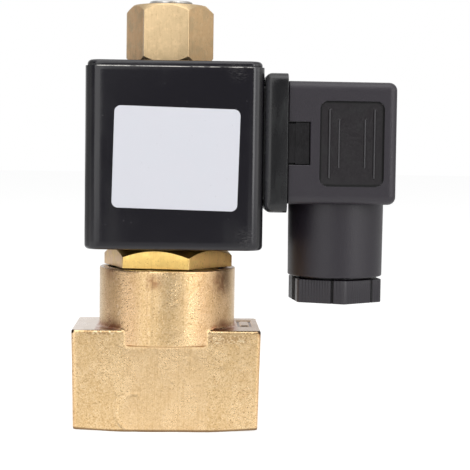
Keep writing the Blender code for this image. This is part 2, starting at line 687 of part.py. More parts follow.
def make_terminal_base():
    half = BASE_SIZE / 2
    base = rounded_box("terminal_base", (base_back, -half, terminal_height - half),
                       (base_face, half, terminal_height + half), 0, BASE_CORNER, (BASE_RIM, 0), MOULDED)
    tenon = box("tenon", (coil_right - TENON_LENGTH, -TENON_SIZE / 2, terminal_height - TENON_SIZE / 2),
                (base_back + OVERCUT, TENON_SIZE / 2, terminal_height + TENON_SIZE / 2))
    join(base, tenon)
    hole = rod("insert_cut", INSERT_RADIUS + FIT, (base_face - INSERT_LENGTH - SEAT, 0, terminal_height),
               (base_face + OVERCUT, 0, terminal_height), segments=SMALL_ROUND)
    tip = rod("screw_tip_cut", screw_hole, (base_face - INSERT_LENGTH - TENON_LENGTH / 2, 0, terminal_height),
              (base_face, 0, terminal_height), segments=SMALL_ROUND)
    cut(base, hole, tip)
    turned("screw_insert", [
        (SCREW_SHANK_RADIUS + FIT, 0), (INSERT_RADIUS, 0), (INSERT_RADIUS, -INSERT_LENGTH),
        (SCREW_SHANK_RADIUS + FIT, -INSERT_LENGTH)],
        BRIGHT_BRASS, SMALL_ROUND, (base_face, 0, terminal_height), along_x=True)
    tail = coil_right - TENON_LENGTH + SEAT
    for blade in BLADES:
        slot = blade_box(blade + "_slot_cut", blade, BLADE_WIDTH + 2 * FIT, BLADE_THICKNESS + 2 * FIT,
                         tail - FIT, base_face + OVERCUT)
        cut(base, slot)
        blade_box(blade + "_blade", blade, BLADE_WIDTH, BLADE_THICKNESS, tail, base_face + BLADE_REACH, STEEL)


def make_plug():
    wide = PLUG_WIDTH / 2
    shell = rounded_box("plug_housing", (plug_back, -wide, plug_bottom), (plug_face, wide, plug_top),
                        0, PLUG_CORNER, (0, PLUG_RIM), PLASTIC)
    tube = rod("gland_tube", GLAND_RADIUS - GLAND_TAPER, (gland_x, 0, gland_bottom),
               (gland_x, 0, plug_bottom + PLUG_WALL / 2), last_radius=GLAND_RADIUS)
    join(shell, tube)
    inner_y = wide - PLUG_WALL
    inner_z = PLUG_HEIGHT / 2 - PLUG_WALL
    cavity = box("plug_cavity_cut", (plug_back - OVERCUT, -inner_y, terminal_height - inner_z),
                 (cavity_end, inner_y, terminal_height + inner_z))
    bore = turned("gland_bore_cut", [
        (0, plug_bottom + PLUG_WALL + OVERCUT), (CABLE_HOLE_RADIUS, plug_bottom + PLUG_WALL + OVERCUT),
        (CABLE_HOLE_RADIUS, gland_shoulder), (GLAND_BORE_RADIUS, gland_shoulder),
        (GLAND_BORE_RADIUS, gland_bottom - OVERCUT), (0, gland_bottom - OVERCUT)],
        segments=INNER_ROUND, centre=(gland_x, 0, 0))
    recess = SCREW_HEAD_HEIGHT + SCREW_SEAL_HEIGHT + 3 * SEAT
    sink = turned("screw_recess_cut", [
        (0, OVERCUT), (SCREW_HEAD_RADIUS + 2 * FIT, OVERCUT), (SCREW_HEAD_RADIUS + 2 * FIT, -recess),
        (screw_hole, -recess), (screw_hole, -PLUG_END - OVERCUT), (0, -PLUG_END - OVERCUT)],
        segments=SMALL_ROUND, centre=(plug_face, 0, terminal_height), along_x=True)
    cut(shell, cavity, bore, sink)
    panel_x = plug_back + PLUG_DEPTH / 2 + PANEL_OFFSET
    for side, face in (("front", -1), ("rear", 1)):
        window = box(side + "_window_cut",
                     (plug_back - OVERCUT, min(face * inner_y, face * (wide + OVERCUT)) - FIT,
                      terminal_height - WINDOW_HEIGHT / 2),
                     (plug_back + WINDOW_DEPTH, max(face * inner_y, face * (wide + OVERCUT)) + FIT,
                      terminal_height + WINDOW_HEIGHT / 2))
        panel = outline(side + "_panel_cut", rounded_rectangle(PANEL_WIDTH, PANEL_HEIGHT, PANEL_CORNER),
                        min(face * (wide - PANEL_CUT), face * (wide + OVERCUT)),
                        max(face * (wide - PANEL_CUT), face * (wide + OVERCUT)), "Y")
        panel.location = (panel_x, 0, terminal_height)
        cut(shell, window, panel)
        for place, offset, height in (("outer", OUTER_RIB_OFFSET, OUTER_RIB_HEIGHT),
                                      ("inner", INNER_RIB_OFFSET, INNER_RIB_HEIGHT)):
            for sign in (-1, 1):
                x = panel_x + sign * offset
                deep = face * (wide - PANEL_CUT - PLUG_WALL / 4)
                proud = face * (wide - PANEL_CUT / 4)
                rib = box("%s_%s_rib_%s" % (side, place, "left" if sign < 0 else "right"),
                          (x - RIB_WIDTH / 2, min(deep, proud), terminal_height - height / 2),
                          (x + RIB_WIDTH / 2, max(deep, proud), terminal_height + height / 2))
                join(shell, rib)
    return inner_y, inner_z


def make_plug_inside(inner_y, inner_z):
    """Gasket, terminal block, contacts and screws held in the plug's housing."""
    fill_y = inner_y - FIT
    fill_z = inner_z - FIT
    gasket = box("gasket", (plug_back, -fill_y, terminal_height - fill_z),
                 (gasket_face, fill_y, terminal_height + fill_z), RUBBER)
    block = box("terminal_block", (terminal_back, -fill_y, terminal_height - fill_z),
                (terminal_face, fill_y, terminal_height + fill_z), PLASTIC)
    latch_y = PLUG_WIDTH / 2 - LATCH_SET_BACK
    latch = box("latch", (terminal_back, -latch_y, terminal_height - WINDOW_HEIGHT / 2 + FIT),
                (plug_back + WINDOW_DEPTH - FIT, latch_y, terminal_height + WINDOW_HEIGHT / 2 - FIT))
    join(block, latch)
    tongue_y = latch_y - FIT / 2
    tongue_z = WINDOW_HEIGHT / 2 - 2 * FIT
    for side, face in (("front", -1), ("rear", 1)):
        tongue = box(side + "_latch_tongue",
                     (plug_back, min(face * inner_y, face * tongue_y), terminal_height - tongue_z),
                     (terminal_back + OVERCUT, max(face * inner_y, face * tongue_y),
                      terminal_height + tongue_z))
        join(block, tongue)
    hole = rod("inner_screw_cut", screw_hole, (plug_back - OVERCUT, 0, terminal_height),
               (terminal_face + OVERCUT, 0, terminal_height), segments=SMALL_ROUND)
    cut(gasket, hole)
    cut(block, hole)
    for blade, (across, up) in BLADES.items():
        slot = blade_box(blade + "_gasket_cut", blade, BLADE_WIDTH + 2 * FIT, BLADE_THICKNESS + 2 * FIT,
                         plug_back - OVERCUT, gasket_face + OVERCUT)
        cut(gasket, slot)
        pocket = blade_box(blade + "_pocket_cut", blade, SOCKET_WIDTH + 2 * FIT, SOCKET_THICKNESS + 2 * FIT,
                           terminal_back - OVERCUT, socket_face + SEAT)
        y = across * BLADE_OFFSET
        z = terminal_height + up * BLADE_OFFSET
        thread = rod(blade + "_clamp_cut", CLAMP_SHANK_RADIUS + FIT, (socket_face, y, z),
                     (terminal_face + OVERCUT, y, z), segments=16)
        cut(block, pocket, thread)
        socket = blade_box(blade + "_socket", blade, SOCKET_WIDTH, SOCKET_THICKNESS, socket_back, socket_face,
                           BRIGHT_BRASS)
        mouth = blade_box(blade + "_mouth_cut", blade, BLADE_WIDTH + 2 * FIT, BLADE_THICKNESS + 2 * FIT,
                          socket_back - OVERCUT, base_face + BLADE_REACH + SEAT)
        cut(socket, mouth)
        reach = terminal_face + SEAT
        clamp = turned(blade + "_clamp_screw", [
            (0, CLAMP_HEAD_HEIGHT), (CLAMP_HEAD_RADIUS, CLAMP_HEAD_HEIGHT), (CLAMP_HEAD_RADIUS, 0),
            (CLAMP_SHANK_RADIUS, 0), (CLAMP_SHANK_RADIUS, socket_face + 2 * SEAT - reach),
            (0, socket_face + 2 * SEAT - reach)], STEEL, 16, (reach, y, z), along_x=True)
        slot_floor = reach + CLAMP_HEAD_HEIGHT / 2
        clamp_slot = box(blade + "_driver_cut",
                         (slot_floor, y - SCREW_SLOT / 2, z - CLAMP_HEAD_RADIUS * 2),
                         (slot_floor + CLAMP_HEAD_HEIGHT, y + SCREW_SLOT / 2, z + CLAMP_HEAD_RADIUS * 2))
        cut(clamp, clamp_slot)
    seal_back = plug_face - SCREW_HEAD_HEIGHT - SCREW_SEAL_HEIGHT - 2 * SEAT
    turned("screw_seal", [
        (SCREW_SHANK_RADIUS + FIT, SCREW_SEAL_HEIGHT), (SCREW_HEAD_RADIUS, SCREW_SEAL_HEIGHT),
        (SCREW_HEAD_RADIUS, 0), (SCREW_SHANK_RADIUS + FIT, 0)],
        RUBBER, SMALL_ROUND, (seal_back, 0, terminal_height), along_x=True)
    head_back = seal_back + SCREW_SEAL_HEIGHT + SEAT
    shank_end = base_face - INSERT_LENGTH - TENON_LENGTH / 2 + 2 * SEAT
    screw = turned("plug_screw", [
        (0, SCREW_HEAD_HEIGHT), (SCREW_HEAD_RADIUS, SCREW_HEAD_HEIGHT), (SCREW_HEAD_RADIUS, 0),
        (SCREW_SHANK_RADIUS, 0), (SCREW_SHANK_RADIUS, shank_end - head_back), (0, shank_end - head_back)],
        STEEL, SMALL_ROUND, (head_back, 0, terminal_height), along_x=True)
    slot = box("plug_screw_slot_cut",
               (head_back + SCREW_HEAD_HEIGHT / 2, -SCREW_SLOT / 2, terminal_height - SCREW_HEAD_RADIUS * 2),
               (head_back + SCREW_HEAD_HEIGHT + OVERCUT, SCREW_SLOT / 2,
                terminal_height + SCREW_HEAD_RADIUS * 2))
    cut(screw, slot)


def gland_nut_outline():
    """Saw teeth for the fingers: a long flat from each peak down to a valley, then a short flank up."""
    points = []
    for tooth in range(GLAND_NUT_TEETH):
        peak = 360 / GLAND_NUT_TEETH * tooth + GLAND_NUT_TURN
        for off, radius in ((-GLAND_NUT_FLANK, GLAND_NUT_VALLEY), (-GLAND_NUT_BLUNT, GLAND_NUT_PEAK),
                            (GLAND_NUT_BLUNT, GLAND_NUT_PEAK)):
            angle = math.radians(peak + off)
            points.append((radius * math.cos(angle), radius * math.sin(angle)))
    return points


def make_gland():
    nut = outline("gland_nut", gland_nut_outline(), gland_nut_bottom, gland_nut_top, "Z", PLASTIC)
    soften_ends(nut, (gland_nut_bottom, gland_nut_top), GLAND_NUT_EDGE)
    nut.location = (gland_x, 0, 0)
    spigot = rod("gland_nut_spigot", gland_fill_radius, (gland_x, 0, gland_nut_top - OVERCUT),
                 (gland_x, 0, gland_spigot_top), segments=INNER_ROUND)
    hole = turned("gland_nut_hole_cut", [
        (0, gland_spigot_top + OVERCUT), (CABLE_HOLE_RADIUS, gland_spigot_top + OVERCUT),
        (CABLE_HOLE_RADIUS, gland_nut_bottom + GLAND_NUT_FLARE),
        (CABLE_HOLE_RADIUS + GLAND_NUT_FLARE + OVERCUT, gland_nut_bottom - OVERCUT),
        (0, gland_nut_bottom - OVERCUT)], segments=INNER_ROUND, centre=(gland_x, 0, 0))
    join(nut, spigot)
    cut(nut, hole)
    turned("gland_washer", [
        (CABLE_HOLE_RADIUS, washer_bottom + GLAND_WASHER), (gland_fill_radius, washer_bottom + GLAND_WASHER),
        (gland_fill_radius, washer_bottom), (CABLE_HOLE_RADIUS, washer_bottom)],
        STEEL, INNER_ROUND, (gland_x, 0, 0))
    turned("gland_grommet", [
        (GROMMET_HOLE_RADIUS, grommet_top), (gland_fill_radius, grommet_top),
        (gland_fill_radius, grommet_bottom), (GROMMET_HOLE_RADIUS, grommet_bottom)],
        RUBBER, INNER_ROUND, (gland_x, 0, 0))


def soften_ends(target, heights, width):
    """Bevel the top and bottom rims of an extruded outline."""
    shape = bmesh.new()
    shape.from_mesh(target.data)
    rims = [edge for edge in shape.edges
            if edge.calc_face_angle(0) > math.radians(40)
            and any(all(abs(v.co.z - height) < 1e-6 for v in edge.verts) for height in heights)]
    bmesh.ops.bevel(shape, geom=rims, offset=width, segments=1, profile=0.5, affect="EDGES")
    shape.to_mesh(target.data)
    shape.free()


def carry(name, place, pieces):
    """Parent the pieces of a moving body to an empty on that body's axis."""
    axis = bpy.data.objects.new(name, None)
    axis.location = place
    PARTS.objects.link(axis)
    for piece in pieces:
        piece.parent = axis
        piece.matrix_parent_inverse = Matrix.Translation(place).inverted()


def made_since(before):
    return [piece for piece in PARTS.objects if piece.name not in before]


make_body()
make_base_nut()
make_stem()
make_spring()
fixed = set(PARTS.objects.keys())
make_armature()
carry("armature_axis", (0, 0, armature_bottom), made_since(fixed))
fixed = set(PARTS.objects.keys())
make_coil()
make_terminal_base()
make_plug_inside(*make_plug())
make_gland()
carry("coil_axis", (0, 0, coil_bottom), made_since(fixed))
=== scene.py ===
import math

import bmesh
import bpy
import numpy as np
from mathutils import Matrix, Vector, noise


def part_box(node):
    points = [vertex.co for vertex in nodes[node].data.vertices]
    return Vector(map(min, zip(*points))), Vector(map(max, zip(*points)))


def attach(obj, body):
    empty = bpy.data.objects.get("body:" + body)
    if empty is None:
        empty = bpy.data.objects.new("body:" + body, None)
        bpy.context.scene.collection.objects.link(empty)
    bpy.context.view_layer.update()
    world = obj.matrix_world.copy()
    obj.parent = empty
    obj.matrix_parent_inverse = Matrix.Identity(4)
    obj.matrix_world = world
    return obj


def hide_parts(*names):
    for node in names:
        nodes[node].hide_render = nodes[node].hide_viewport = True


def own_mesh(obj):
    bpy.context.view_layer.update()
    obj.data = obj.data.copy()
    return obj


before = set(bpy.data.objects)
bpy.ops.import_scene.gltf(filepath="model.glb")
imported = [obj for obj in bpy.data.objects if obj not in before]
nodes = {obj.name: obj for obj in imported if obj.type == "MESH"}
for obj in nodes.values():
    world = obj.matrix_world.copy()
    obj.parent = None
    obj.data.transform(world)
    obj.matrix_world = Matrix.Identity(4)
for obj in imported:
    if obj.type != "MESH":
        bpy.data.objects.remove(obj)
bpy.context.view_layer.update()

# A brass solenoid valve with a moulded coil and a square cable plug, dressed around its solids.
# Metres, +Z up. The camera looks along +Y, the ports face -X and +X, and the plug is at +X.

MM = 0.001
FULL_TURN = 2 * math.pi
WHITE = (1, 1, 1, 1)
# Points closer together than this are one point
MERGE = 1e-7
# Steps round the corner of a rectangle
CORNER_STEPS = 8
# Form of a screw thread: how steep its flanks are, and how much of its pitch is flat
FLANK_SLOPE = 2.4
FLANK_START = 0.7
# The smallest rounding of an edge
LEAST_EDGE = 0.1 * MM


def mm(*sizes):
    return tuple(size * MM for size in sizes)


# Camera
CAMERA_PLACE = mm(3.83, -309.55, 58.98)
CAMERA_LENS = 111.67
CAMERA_SENSOR = 36.0
CAMERA_YAW = 1.931
CAMERA_PITCH = 3.453
CAMERA_ROLL = 0.756

# Studio. Each light: its direction from the camera's side, its elevation, its size and its radiance
LIGHTS = {"left_box": (-25, 22, (0.69, 0.9), 1.7), "right_box": (57, 20, (0.82, 0.9), 1.35),
          "right_strip": (41, 12, (0.2, 0.7), 2.9), "top_box": (0, 75, (0.9, 0.7), 1.6)}
LIGHT_DISTANCE = 0.9
LIGHT_TARGET = mm(10, 0, 45)
AMBIENT = 0.35
FLOOR_HALF = 3.0
FLOOR_GLOW = 0.9
FLOOR_SEEN = 0.85
FLOOR_CLOSE = 1.06
FLOOR_NEAR = mm(100, 170)
FLOOR_FAR = mm(480, 800)
FLOOR_FADE = 0.45
# Brightness of the floor in reflections, by direction: 0 is towards the camera, positive to its right
FLOOR_BANDS = ((-180, 0.9), (-150, 0.74), (-132, 0.58), (-104, 0.32), (-90, 0.36), (-75, 1.05), (-60, 1.15),
               (-29, 1.12), (-24, 0.55), (8, 0.56), (15, 1.05), (30, 0.85), (64, 0.9), (72, 0.55),
               (86, 0.42), (98, 0.62), (125, 0.54), (150, 0.74), (180, 0.9))
FLOOR_GREY = (0.8, 0.8, 0.8, 1)
FLOOR_SHADED = (0.35, 0.35, 0.35, 1)
# Brightness of the world in reflections: a direction's share from and to, and the levels there
WORLD_BEHIND = (0.38, 0.95, 0.28, 1.0)
WORLD_RIGHT = (0.3, 0.9, 0.0, 0.8)
WORLD_ABOVE = (0.45, 0.85, 0.0, 1.05)
HORIZON = (0.0, 0.08)
CARD_PLACE = -420 * MM
CARD_HALF = 75 * MM
CARD_TOP = 105 * MM
CARD_GLOW = 0.24

# Forged body
VOXEL = 0.22 * MM
SKIN_ALLOWANCE = 0.06 * MM
BODY_SHARP = 50
BLOCK_DEPTH = 23.3 * MM
BLOCK_HEIGHT = 21.2 * MM
BLOCK_DRAFT = 0.45 * MM
BLOCK_EDGE = 0.75 * MM
LEDGE_EDGE = 0.5
FOOT_EDGE = 0.2
FOOT_ROUND = 40 * MM
BLOCK_CROWN = 0.5 * MM
BLOCK_FOOT = 18.0 * MM
BOSS_DROP = 3.2 * MM
BOSS_FOOT = BLOCK_HEIGHT - BOSS_DROP
BOSS_EDGE = 0.15 * MM
PORT_HEIGHT = 10.4 * MM
PORT_FACE_RADIUS = 8.8 * MM
PORT_FACE_CUT = 1.0 * MM
PORT_FACE_REACH = 3 * MM
PORT_DEPTH = 11.5 * MM
PORT_LEAD = 0.4 * MM
PORT_CREST = 5.75 * MM
PORT_ROOT = 6.5 * MM
PORT_MOUTH = 6.8 * MM
PORT_PITCH = 1.337 * MM
PASSAGE_RADIUS = 2.4 * MM
INLET_END = 0.7 * MM
CHAMBER_RADIUS = 9.2 * MM
CHAMBER_FLOOR = 17.9 * MM
SEAT_RADIUS = 3.6 * MM
SEAT_TOP = 19.4 * MM
ORIFICE_RADIUS = 2.0 * MM
DROP_PLACE = 6.4 * MM
DROP_RADIUS = 1.9 * MM
THREAD_FLOOR = 25.6 * MM
THREAD_RADIUS = 11.0 * MM
RING_SEAT_RADIUS = 12.6 * MM
RING_SEAT_DEPTH = 2.0 * MM
# Relief of the forged skin: the size of its features and their height
SKIN_NOISE = (mm(6.0, 0.03), mm(0.7, 0.014))
SKIN_PITS = mm(1.1, 0.04)
PIT_LEVELS = (0.5, 0.8)
PIT_SHIFT = (7, 3, 5)
RIDGE_PLACE = -3.4 * MM
RIDGE_HEIGHT = 0.06 * MM
RIDGE_SPREAD = mm(0.2, 0.8)
SCRATCH = mm(-6.4, 4.1)
SCRATCH_RADIUS = 3.8 * MM
SCRATCH_DEPTH = 0.07 * MM
SCRATCH_SPREAD = mm(0.1, 0.4)
FRAME_MARK = mm(16.5, 1.7)
FRAME_MARK_SIZE = mm(2.5, 9.0)
FRAME_MARK_LINE = 0.4 * MM
FRAME_MARK_DEPTH = 0.3 * MM
FRAME_MARK_STRETCH = 3.0
# Stains and wear of the forging, and painted shade along its foot
STAINS = ((mm(-2.4, -13.8, 31.3), 2.6 * MM), (mm(11.2, -9.0, 31.0), 4.2 * MM),
          (mm(-11.5, -8.4, 21.9), 3.3 * MM), (mm(11.6, -8.4, 21.8), 3.0 * MM),
          (mm(-11.5, -8.0, 33.2), 3.0 * MM), (mm(19.4, -11.3, 21.0), 1.8 * MM))
CORNER_CHIPS = (mm(-19.4, -11.4, 21.0), mm(19.4, -11.4, 21.0))
CORNER_CHIP_REACH = 1.25 * MM
FOOT_SHADE = 0.75 * MM
FOOT_SHADE_END = 24 * MM
ROOT_STAIN = 0.9 * MM
ROOT_STAIN_START = 1.5 * MM
ROOT_STAIN_END = mm(15, 14.5)
FLOW_HALF = 8.3 * MM
# Each pitted band: its middle across, its middle above the foot, its width and its height
PITTED_BANDS = (mm(12.6, 19.4, 7.4, 1.4), mm(-13.9, 20.65, 6.0, 0.7))

# Nuts and fixed core
CLEARANCE = 0.2 * MM
NUT_LAND = 0.3 * MM
NUT_CORNER = 0.25 * MM
NUT_EDGE = 0.1 * MM
BASE_NUT_FLATS = 24.0 * MM
BASE_NUT_HEIGHT = 3.9 * MM
BASE_NUT_BORE = 6.9 * MM
BASE_NUT_CHAMFER = 37.0
BASE_NUT_TURN = -101.2
COIL_NUT_FLATS = 16.0 * MM
COIL_NUT_CHAMFER = 45.0
COIL_NUT_LOW_CHAMFER = 0.95 * MM
COIL_NUT_TURN = -95.0
STUD_RADIUS = 4.75 * MM
STUD_PITCH = 1.0 * MM
STUD_ROOT = 4.25 * MM
STUD_TIP = 4.05 * MM
CORE_RADIUS = 6.7 * MM
CORE_FACE_RADIUS = 5.8 * MM
RING_GROOVE = 0.9 * MM
SPRING_WIRE = 0.35 * MM
SPRING_TURNS = 7
SPRING_STEPS = 28

# Coil. The points of a moulding are how many lie on its sides, across and up
COIL_POINTS = (40, 32)
COIL_LEVELS = 40
COIL_CORNER = 3.2 * MM
COIL_RIM = 0.9 * MM
COIL_LIP_HEIGHT = 1.2 * MM
COIL_LIP_STEP = 0.4 * MM
# Section of the lip: height above the parting line, and inset
COIL_LIP = (mm(-0.12, 0), mm(-0.03, 0.03), mm(0, 0.12), mm(0.02, 0.4), mm(0.1, 0.45))
COIL_BORE = 7.0 * MM
COIL_WAVE = 0.025 * MM
COIL_WAVES = ((11 * MM, 1.0), (4 * MM, 0.4))
COIL_RAGGED = ((1.3 * MM, 1.0), (0.5 * MM, 0.5))
COIL_FLASH = 0.14 * MM
FLASH_SPREAD = mm(0.05, 0.15)
COIL_MIDDLE = 1.5 * MM
PARTING = 75.0 * MM
PARTING_HALF = 15.6 * MM
SCUFFS = ((mm(14.0, -15, 74.0), 3 * MM), (mm(15.8, -15, 40.6), 3 * MM))
YOKE_THICKNESS = 2.0 * MM
LABEL_SIZE = mm(25.4, 20.6)
LABEL_CORNER = 1.3 * MM
LABEL_SHIFT = 0.35 * MM
LABEL_TURN = 1.35
LABEL_POINTS = (24, 20)

# Terminal base and plug
TENON_HALF = 11.5 * MM
TENON_CORNER = 0.5 * MM
BASE_THICKNESS = 4.6 * MM
BASE_POINTS = (24, 24)
BASE_CORNER = 2.0 * MM
BASE_REAR_RIM = 1.3 * MM
BASE_FRONT_RIM = 0.18 * MM
PLUG_POINTS = (30, 150)
PLUG_LEVELS = 90
PLUG_HEIGHT = 24.8 * MM
PLUG_CORNER = 1.8 * MM
PLUG_RIM = 1.6 * MM
PLUG_BACK_RIM = 0.15 * MM
PLUG_WALL = 1.3 * MM
PLUG_DRAFT = 0.1 * MM
PLUG_RISE = 0.2 * MM
PLUG_END = 4.8 * MM
CAVITY_CORNER = 0.4 * MM
# Flat rings on the plug's end, inside its rim and round its screw recess
END_INSETS = mm(0.4, 1.0)
RECESS_LANDS = mm(1.0, 0.2)
PANEL_PLACE = 12.95 * MM
PANEL_SIZE = mm(13.2, 17.4)
PANEL_CORNER = 1.7 * MM
PANEL_CUT = 0.5 * MM
PANEL_SLOPE = 0.22 * MM
PANEL_SKIN = 0.05 * MM
SIDE_SLACK = 0.001 * MM
RIB_HALF = 0.2 * MM
RIB_RISE = 0.3 * MM
RIB_SPREAD = mm(0.08, 0.3)
RIBS = (mm(2.65, 10.0), mm(4.6, 14.2))
# Distances from the plug's middle over which the ribs' crests take on a painted highlight
RIB_CREST = mm(12.72, 12.85)
WINDOW_DEPTH = 4.4 * MM
WINDOW_HEIGHT = 8.8 * MM
WINDOW_EDGE = 0.15 * MM
WINDOW_OVERCUT = 0.3 * MM
SCREW_RECESS_RADIUS = 3.1 * MM
SCREW_RECESS_DEPTH = 3.4 * MM
SCREW_HOLE = 1.65 * MM
SCREW_HEAD = 2.0 * MM
SCREW_DOME = 0.15 * MM
SCREW_ROUND = 0.4 * MM
SCREW_SHANK = 1.45 * MM
SCREW_ROOT = 1.2 * MM
SCREW_TIP = 1.05 * MM
SCREW_PITCH = 0.5 * MM
SCREW_SLOT_HALF = 0.4 * MM

# Cable gland
GLAND_TUBE_RADIUS = 10.1 * MM
GLAND_TUBE_TAPER = 0.1 * MM
GLAND_TUBE_EDGE = 0.5 * MM
GLAND_TUBE_LEVELS = 30
# Heights between which painted shade fades in over the gland tube, from the top down
GLAND_TUBE_SHADE = mm(48, 47)
GLAND_BORE_RADIUS = 7.6 * MM
GLAND_BORE_DEPTH = 12.0 * MM
CABLE_HOLE_RADIUS = 4.4 * MM
GLAND_NUT_PEAK = 10.4 * MM
GLAND_NUT_BLUNT = 0.12 * MM
GLAND_NUT_VALLEY = 9.35 * MM
GLAND_NUT_FLANK = 15.0
GLAND_NUT_TURN = -83.5
GLAND_NUT_HEIGHT = 4.9 * MM
GLAND_NUT_RIB = 0.035 * MM
GLAND_NUT_RIBS = 96
GLAND_NUT_CREASE = 0.35 * MM
CREASE_SPREAD = (0.6, 2.0)
GLAND_NUT_EDGE = 0.2 * MM
# Painted light and shade on the gland nut: its side towards the coil, from its axis, and places round each
# tooth in degrees
COIL_SIDE = mm(-7.4, -8.2)
LIT_FLANK = (16, 14)
SHADED_FLAT = (37, 43)
GROOVE_SHADE = (2.8, 0.5)


class Graph:
    """A shader's node tree, with short ways to add nodes to it."""

    def __init__(self, tree):
        self.tree = tree

    def add(self, kind, inputs=None, **settings):
        """A node with its settings, and with each input set or linked."""
        made = self.tree.nodes.new(kind)
        for key, value in settings.items():
            setattr(made, key, value)
        for key, value in (inputs or {}).items():
            if isinstance(value, bpy.types.NodeSocket):
                self.tree.links.new(value, made.inputs[key])
            else:
                made.inputs[key].default_value = value
        return made

    def math(self, operation, first, *others):
        """One value of several, joined in turn. Without others it is an operation on one value."""
        for other in others or (0.0,):
            first = self.add("ShaderNodeMath", {0: first, 1: other}, operation=operation).outputs[0]
        return first

    def times(self, *values):
        return self.math("MULTIPLY", *values)

    def size(self, value):
        """A value without its sign."""
        return self.math("ABSOLUTE", value)

    def axes(self, place):
        return self.add("ShaderNodeSeparateXYZ", {0: place}).outputs

    def ramp(self, value, low, high, first=0.0, last=1.0, kind="LINEAR"):
        """Runs from first, where the value is low, to last, where it is high."""
        inputs = {"Value": value, "From Min": low, "From Max": high, "To Min": first, "To Max": last}
        return self.add("ShaderNodeMapRange", inputs, interpolation_type=kind).outputs["Result"]

    def soft(self, value, low, high, first=0.0, last=1.0):
        return self.ramp(value, low, high, first, last, "SMOOTHSTEP")

    def rays(self):
        """Two masks: of the rays that show a surface itself, and of these together with reflections."""
        path = self.add("ShaderNodeLightPath").outputs
        seen = self.math("MAXIMUM", path["Is Camera Ray"], path["Is Transmission Ray"])
        return seen, self.math("MAXIMUM", seen, path["Is Glossy Ray"])


class Finish(Graph):
    """A procedural material: a Principled shader whose colour, gloss and relief vary over the surface."""

    def __init__(self, name, colour, roughness, metallic=0.0, specular=0.5):
        self.material = bpy.data.materials.new(name)
        self.material.use_nodes = True
        super().__init__(self.material.node_tree)
        self.shader = self.tree.nodes["Principled BSDF"]
        values = {"Base Color": (*colour, 1.0), "Roughness": roughness, "Metallic": metallic,
                  "Specular IOR Level": specular}
        for socket, value in values.items():
            self.shader.inputs[socket].default_value = value
        self.place = self.add("ShaderNodeTexCoord").outputs["Object"]

    def grain(self, size, detail=3.0, stretch=(1, 1, 1), rough=0.55):
        """Noise with features of about the given size, drawn out along the axes that stretch lengthens."""
        scale = [1 / size / s for s in stretch]
        scaled = self.add("ShaderNodeMapping", {"Vector": self.place, "Scale": scale})
        inputs = {"Vector": scaled.outputs[0], "Scale": 1.0, "Detail": detail, "Roughness": rough}
        return self.add("ShaderNodeTexNoise", inputs).outputs["Fac"]

    def cells(self, size):
        """Distance to the nearest of many scattered points."""
        inputs = {"Vector": self.place, "Scale": 1 / size}
        return self.add("ShaderNodeTexVoronoi", inputs).outputs["Distance"]

    def along(self, axis):
        """How far along X, Y or Z a point lies, in metres."""
        return self.axes(self.place)[axis]

    def facing(self, axis):
        """How far the surface faces along X, Y or Z: 1 where it does, and -1 where it faces away."""
        return self.axes(self.add("ShaderNodeNewGeometry").outputs["Normal"])[axis]

    def beyond(self, axis, middle, half):
        """How far outside a band around a place a point lies along X, Y or Z."""
        return self.math("SUBTRACT", self.size(self.math("SUBTRACT", self.along(axis), middle)), half)

    def mask(self, value, low, high):
        """Rises smoothly from 0 to 1 between low and high, or falls where low is the larger."""
        if low > high:
            return self.soft(value, high, low, 1.0, 0.0)
        return self.soft(value, low, high)

    def patches(self, size, low, high, detail=3.0, stretch=(1, 1, 1), rough=0.55):
        """A mask of noise, which rises where the noise runs from low to high."""
        return self.mask(self.grain(size, detail, stretch, rough), low, high)

    def band(self, axis, middle, half, fade):
        """1 inside a band along X, Y or Z, falling to 0 at the given distance outside it."""
        return self.mask(self.beyond(axis, middle, half), fade, 0.0)

    def faced(self, axis, low, high):
        return self.mask(self.facing(axis), low, high)

    def bent(self, low, high, far, end):
        """Surfaces that face partly along X: more than low to high, and less than far to end."""
        return self.times(self.faced("X", low, high), self.faced("X", far, end))

    def edged(self, low, high):
        """Edges that stand out of their surroundings: the value is a half where the surface is flat."""
        return self.mask(self.add("ShaderNodeNewGeometry").outputs["Pointiness"], low, high)

    def near(self, place, reach):
        """1 at a place, falling to 0 at the given distance from it."""
        apart = self.add("ShaderNodeVectorMath", {0: self.place, 1: place}, operation="DISTANCE")
        return self.mask(apart.outputs["Value"], reach, 0.0)

    def current(self, name):
        socket = self.shader.inputs[name]
        if socket.is_linked:
            return socket.links[0].from_socket
        value = socket.default_value
        return value if isinstance(value, float) else tuple(value)

    def tint(self, mask, colour, share=1.0, blend="MIX"):
        """Shift the colour where the mask is high, by the given share."""
        inputs = {0: self.times(mask, share), 6: self.current("Base Color"), 7: (*colour, 1.0)}
        made = self.add("ShaderNodeMix", inputs, data_type="RGBA", blend_type=blend)
        self.tree.links.new(made.outputs[2], self.shader.inputs["Base Color"])

    def gloss(self, mask, roughness, share=1.0):
        """Shift the roughness where the mask is high, by the given share."""
        inputs = {0: self.times(mask, share), 2: self.current("Roughness"), 3: roughness}
        made = self.add("ShaderNodeMix", inputs, data_type="FLOAT")
        self.tree.links.new(made.outputs[0], self.shader.inputs["Roughness"])

    def bump(self, height, depth):
        """Relief of the given depth in metres, on top of any that is there."""
        before = self.shader.inputs["Normal"]
        inputs = {"Height": height, "Distance": depth}
        if before.is_linked:
            inputs["Normal"] = before.links[0].from_socket
        self.tree.links.new(self.add("ShaderNodeBump", inputs).outputs[0], before)


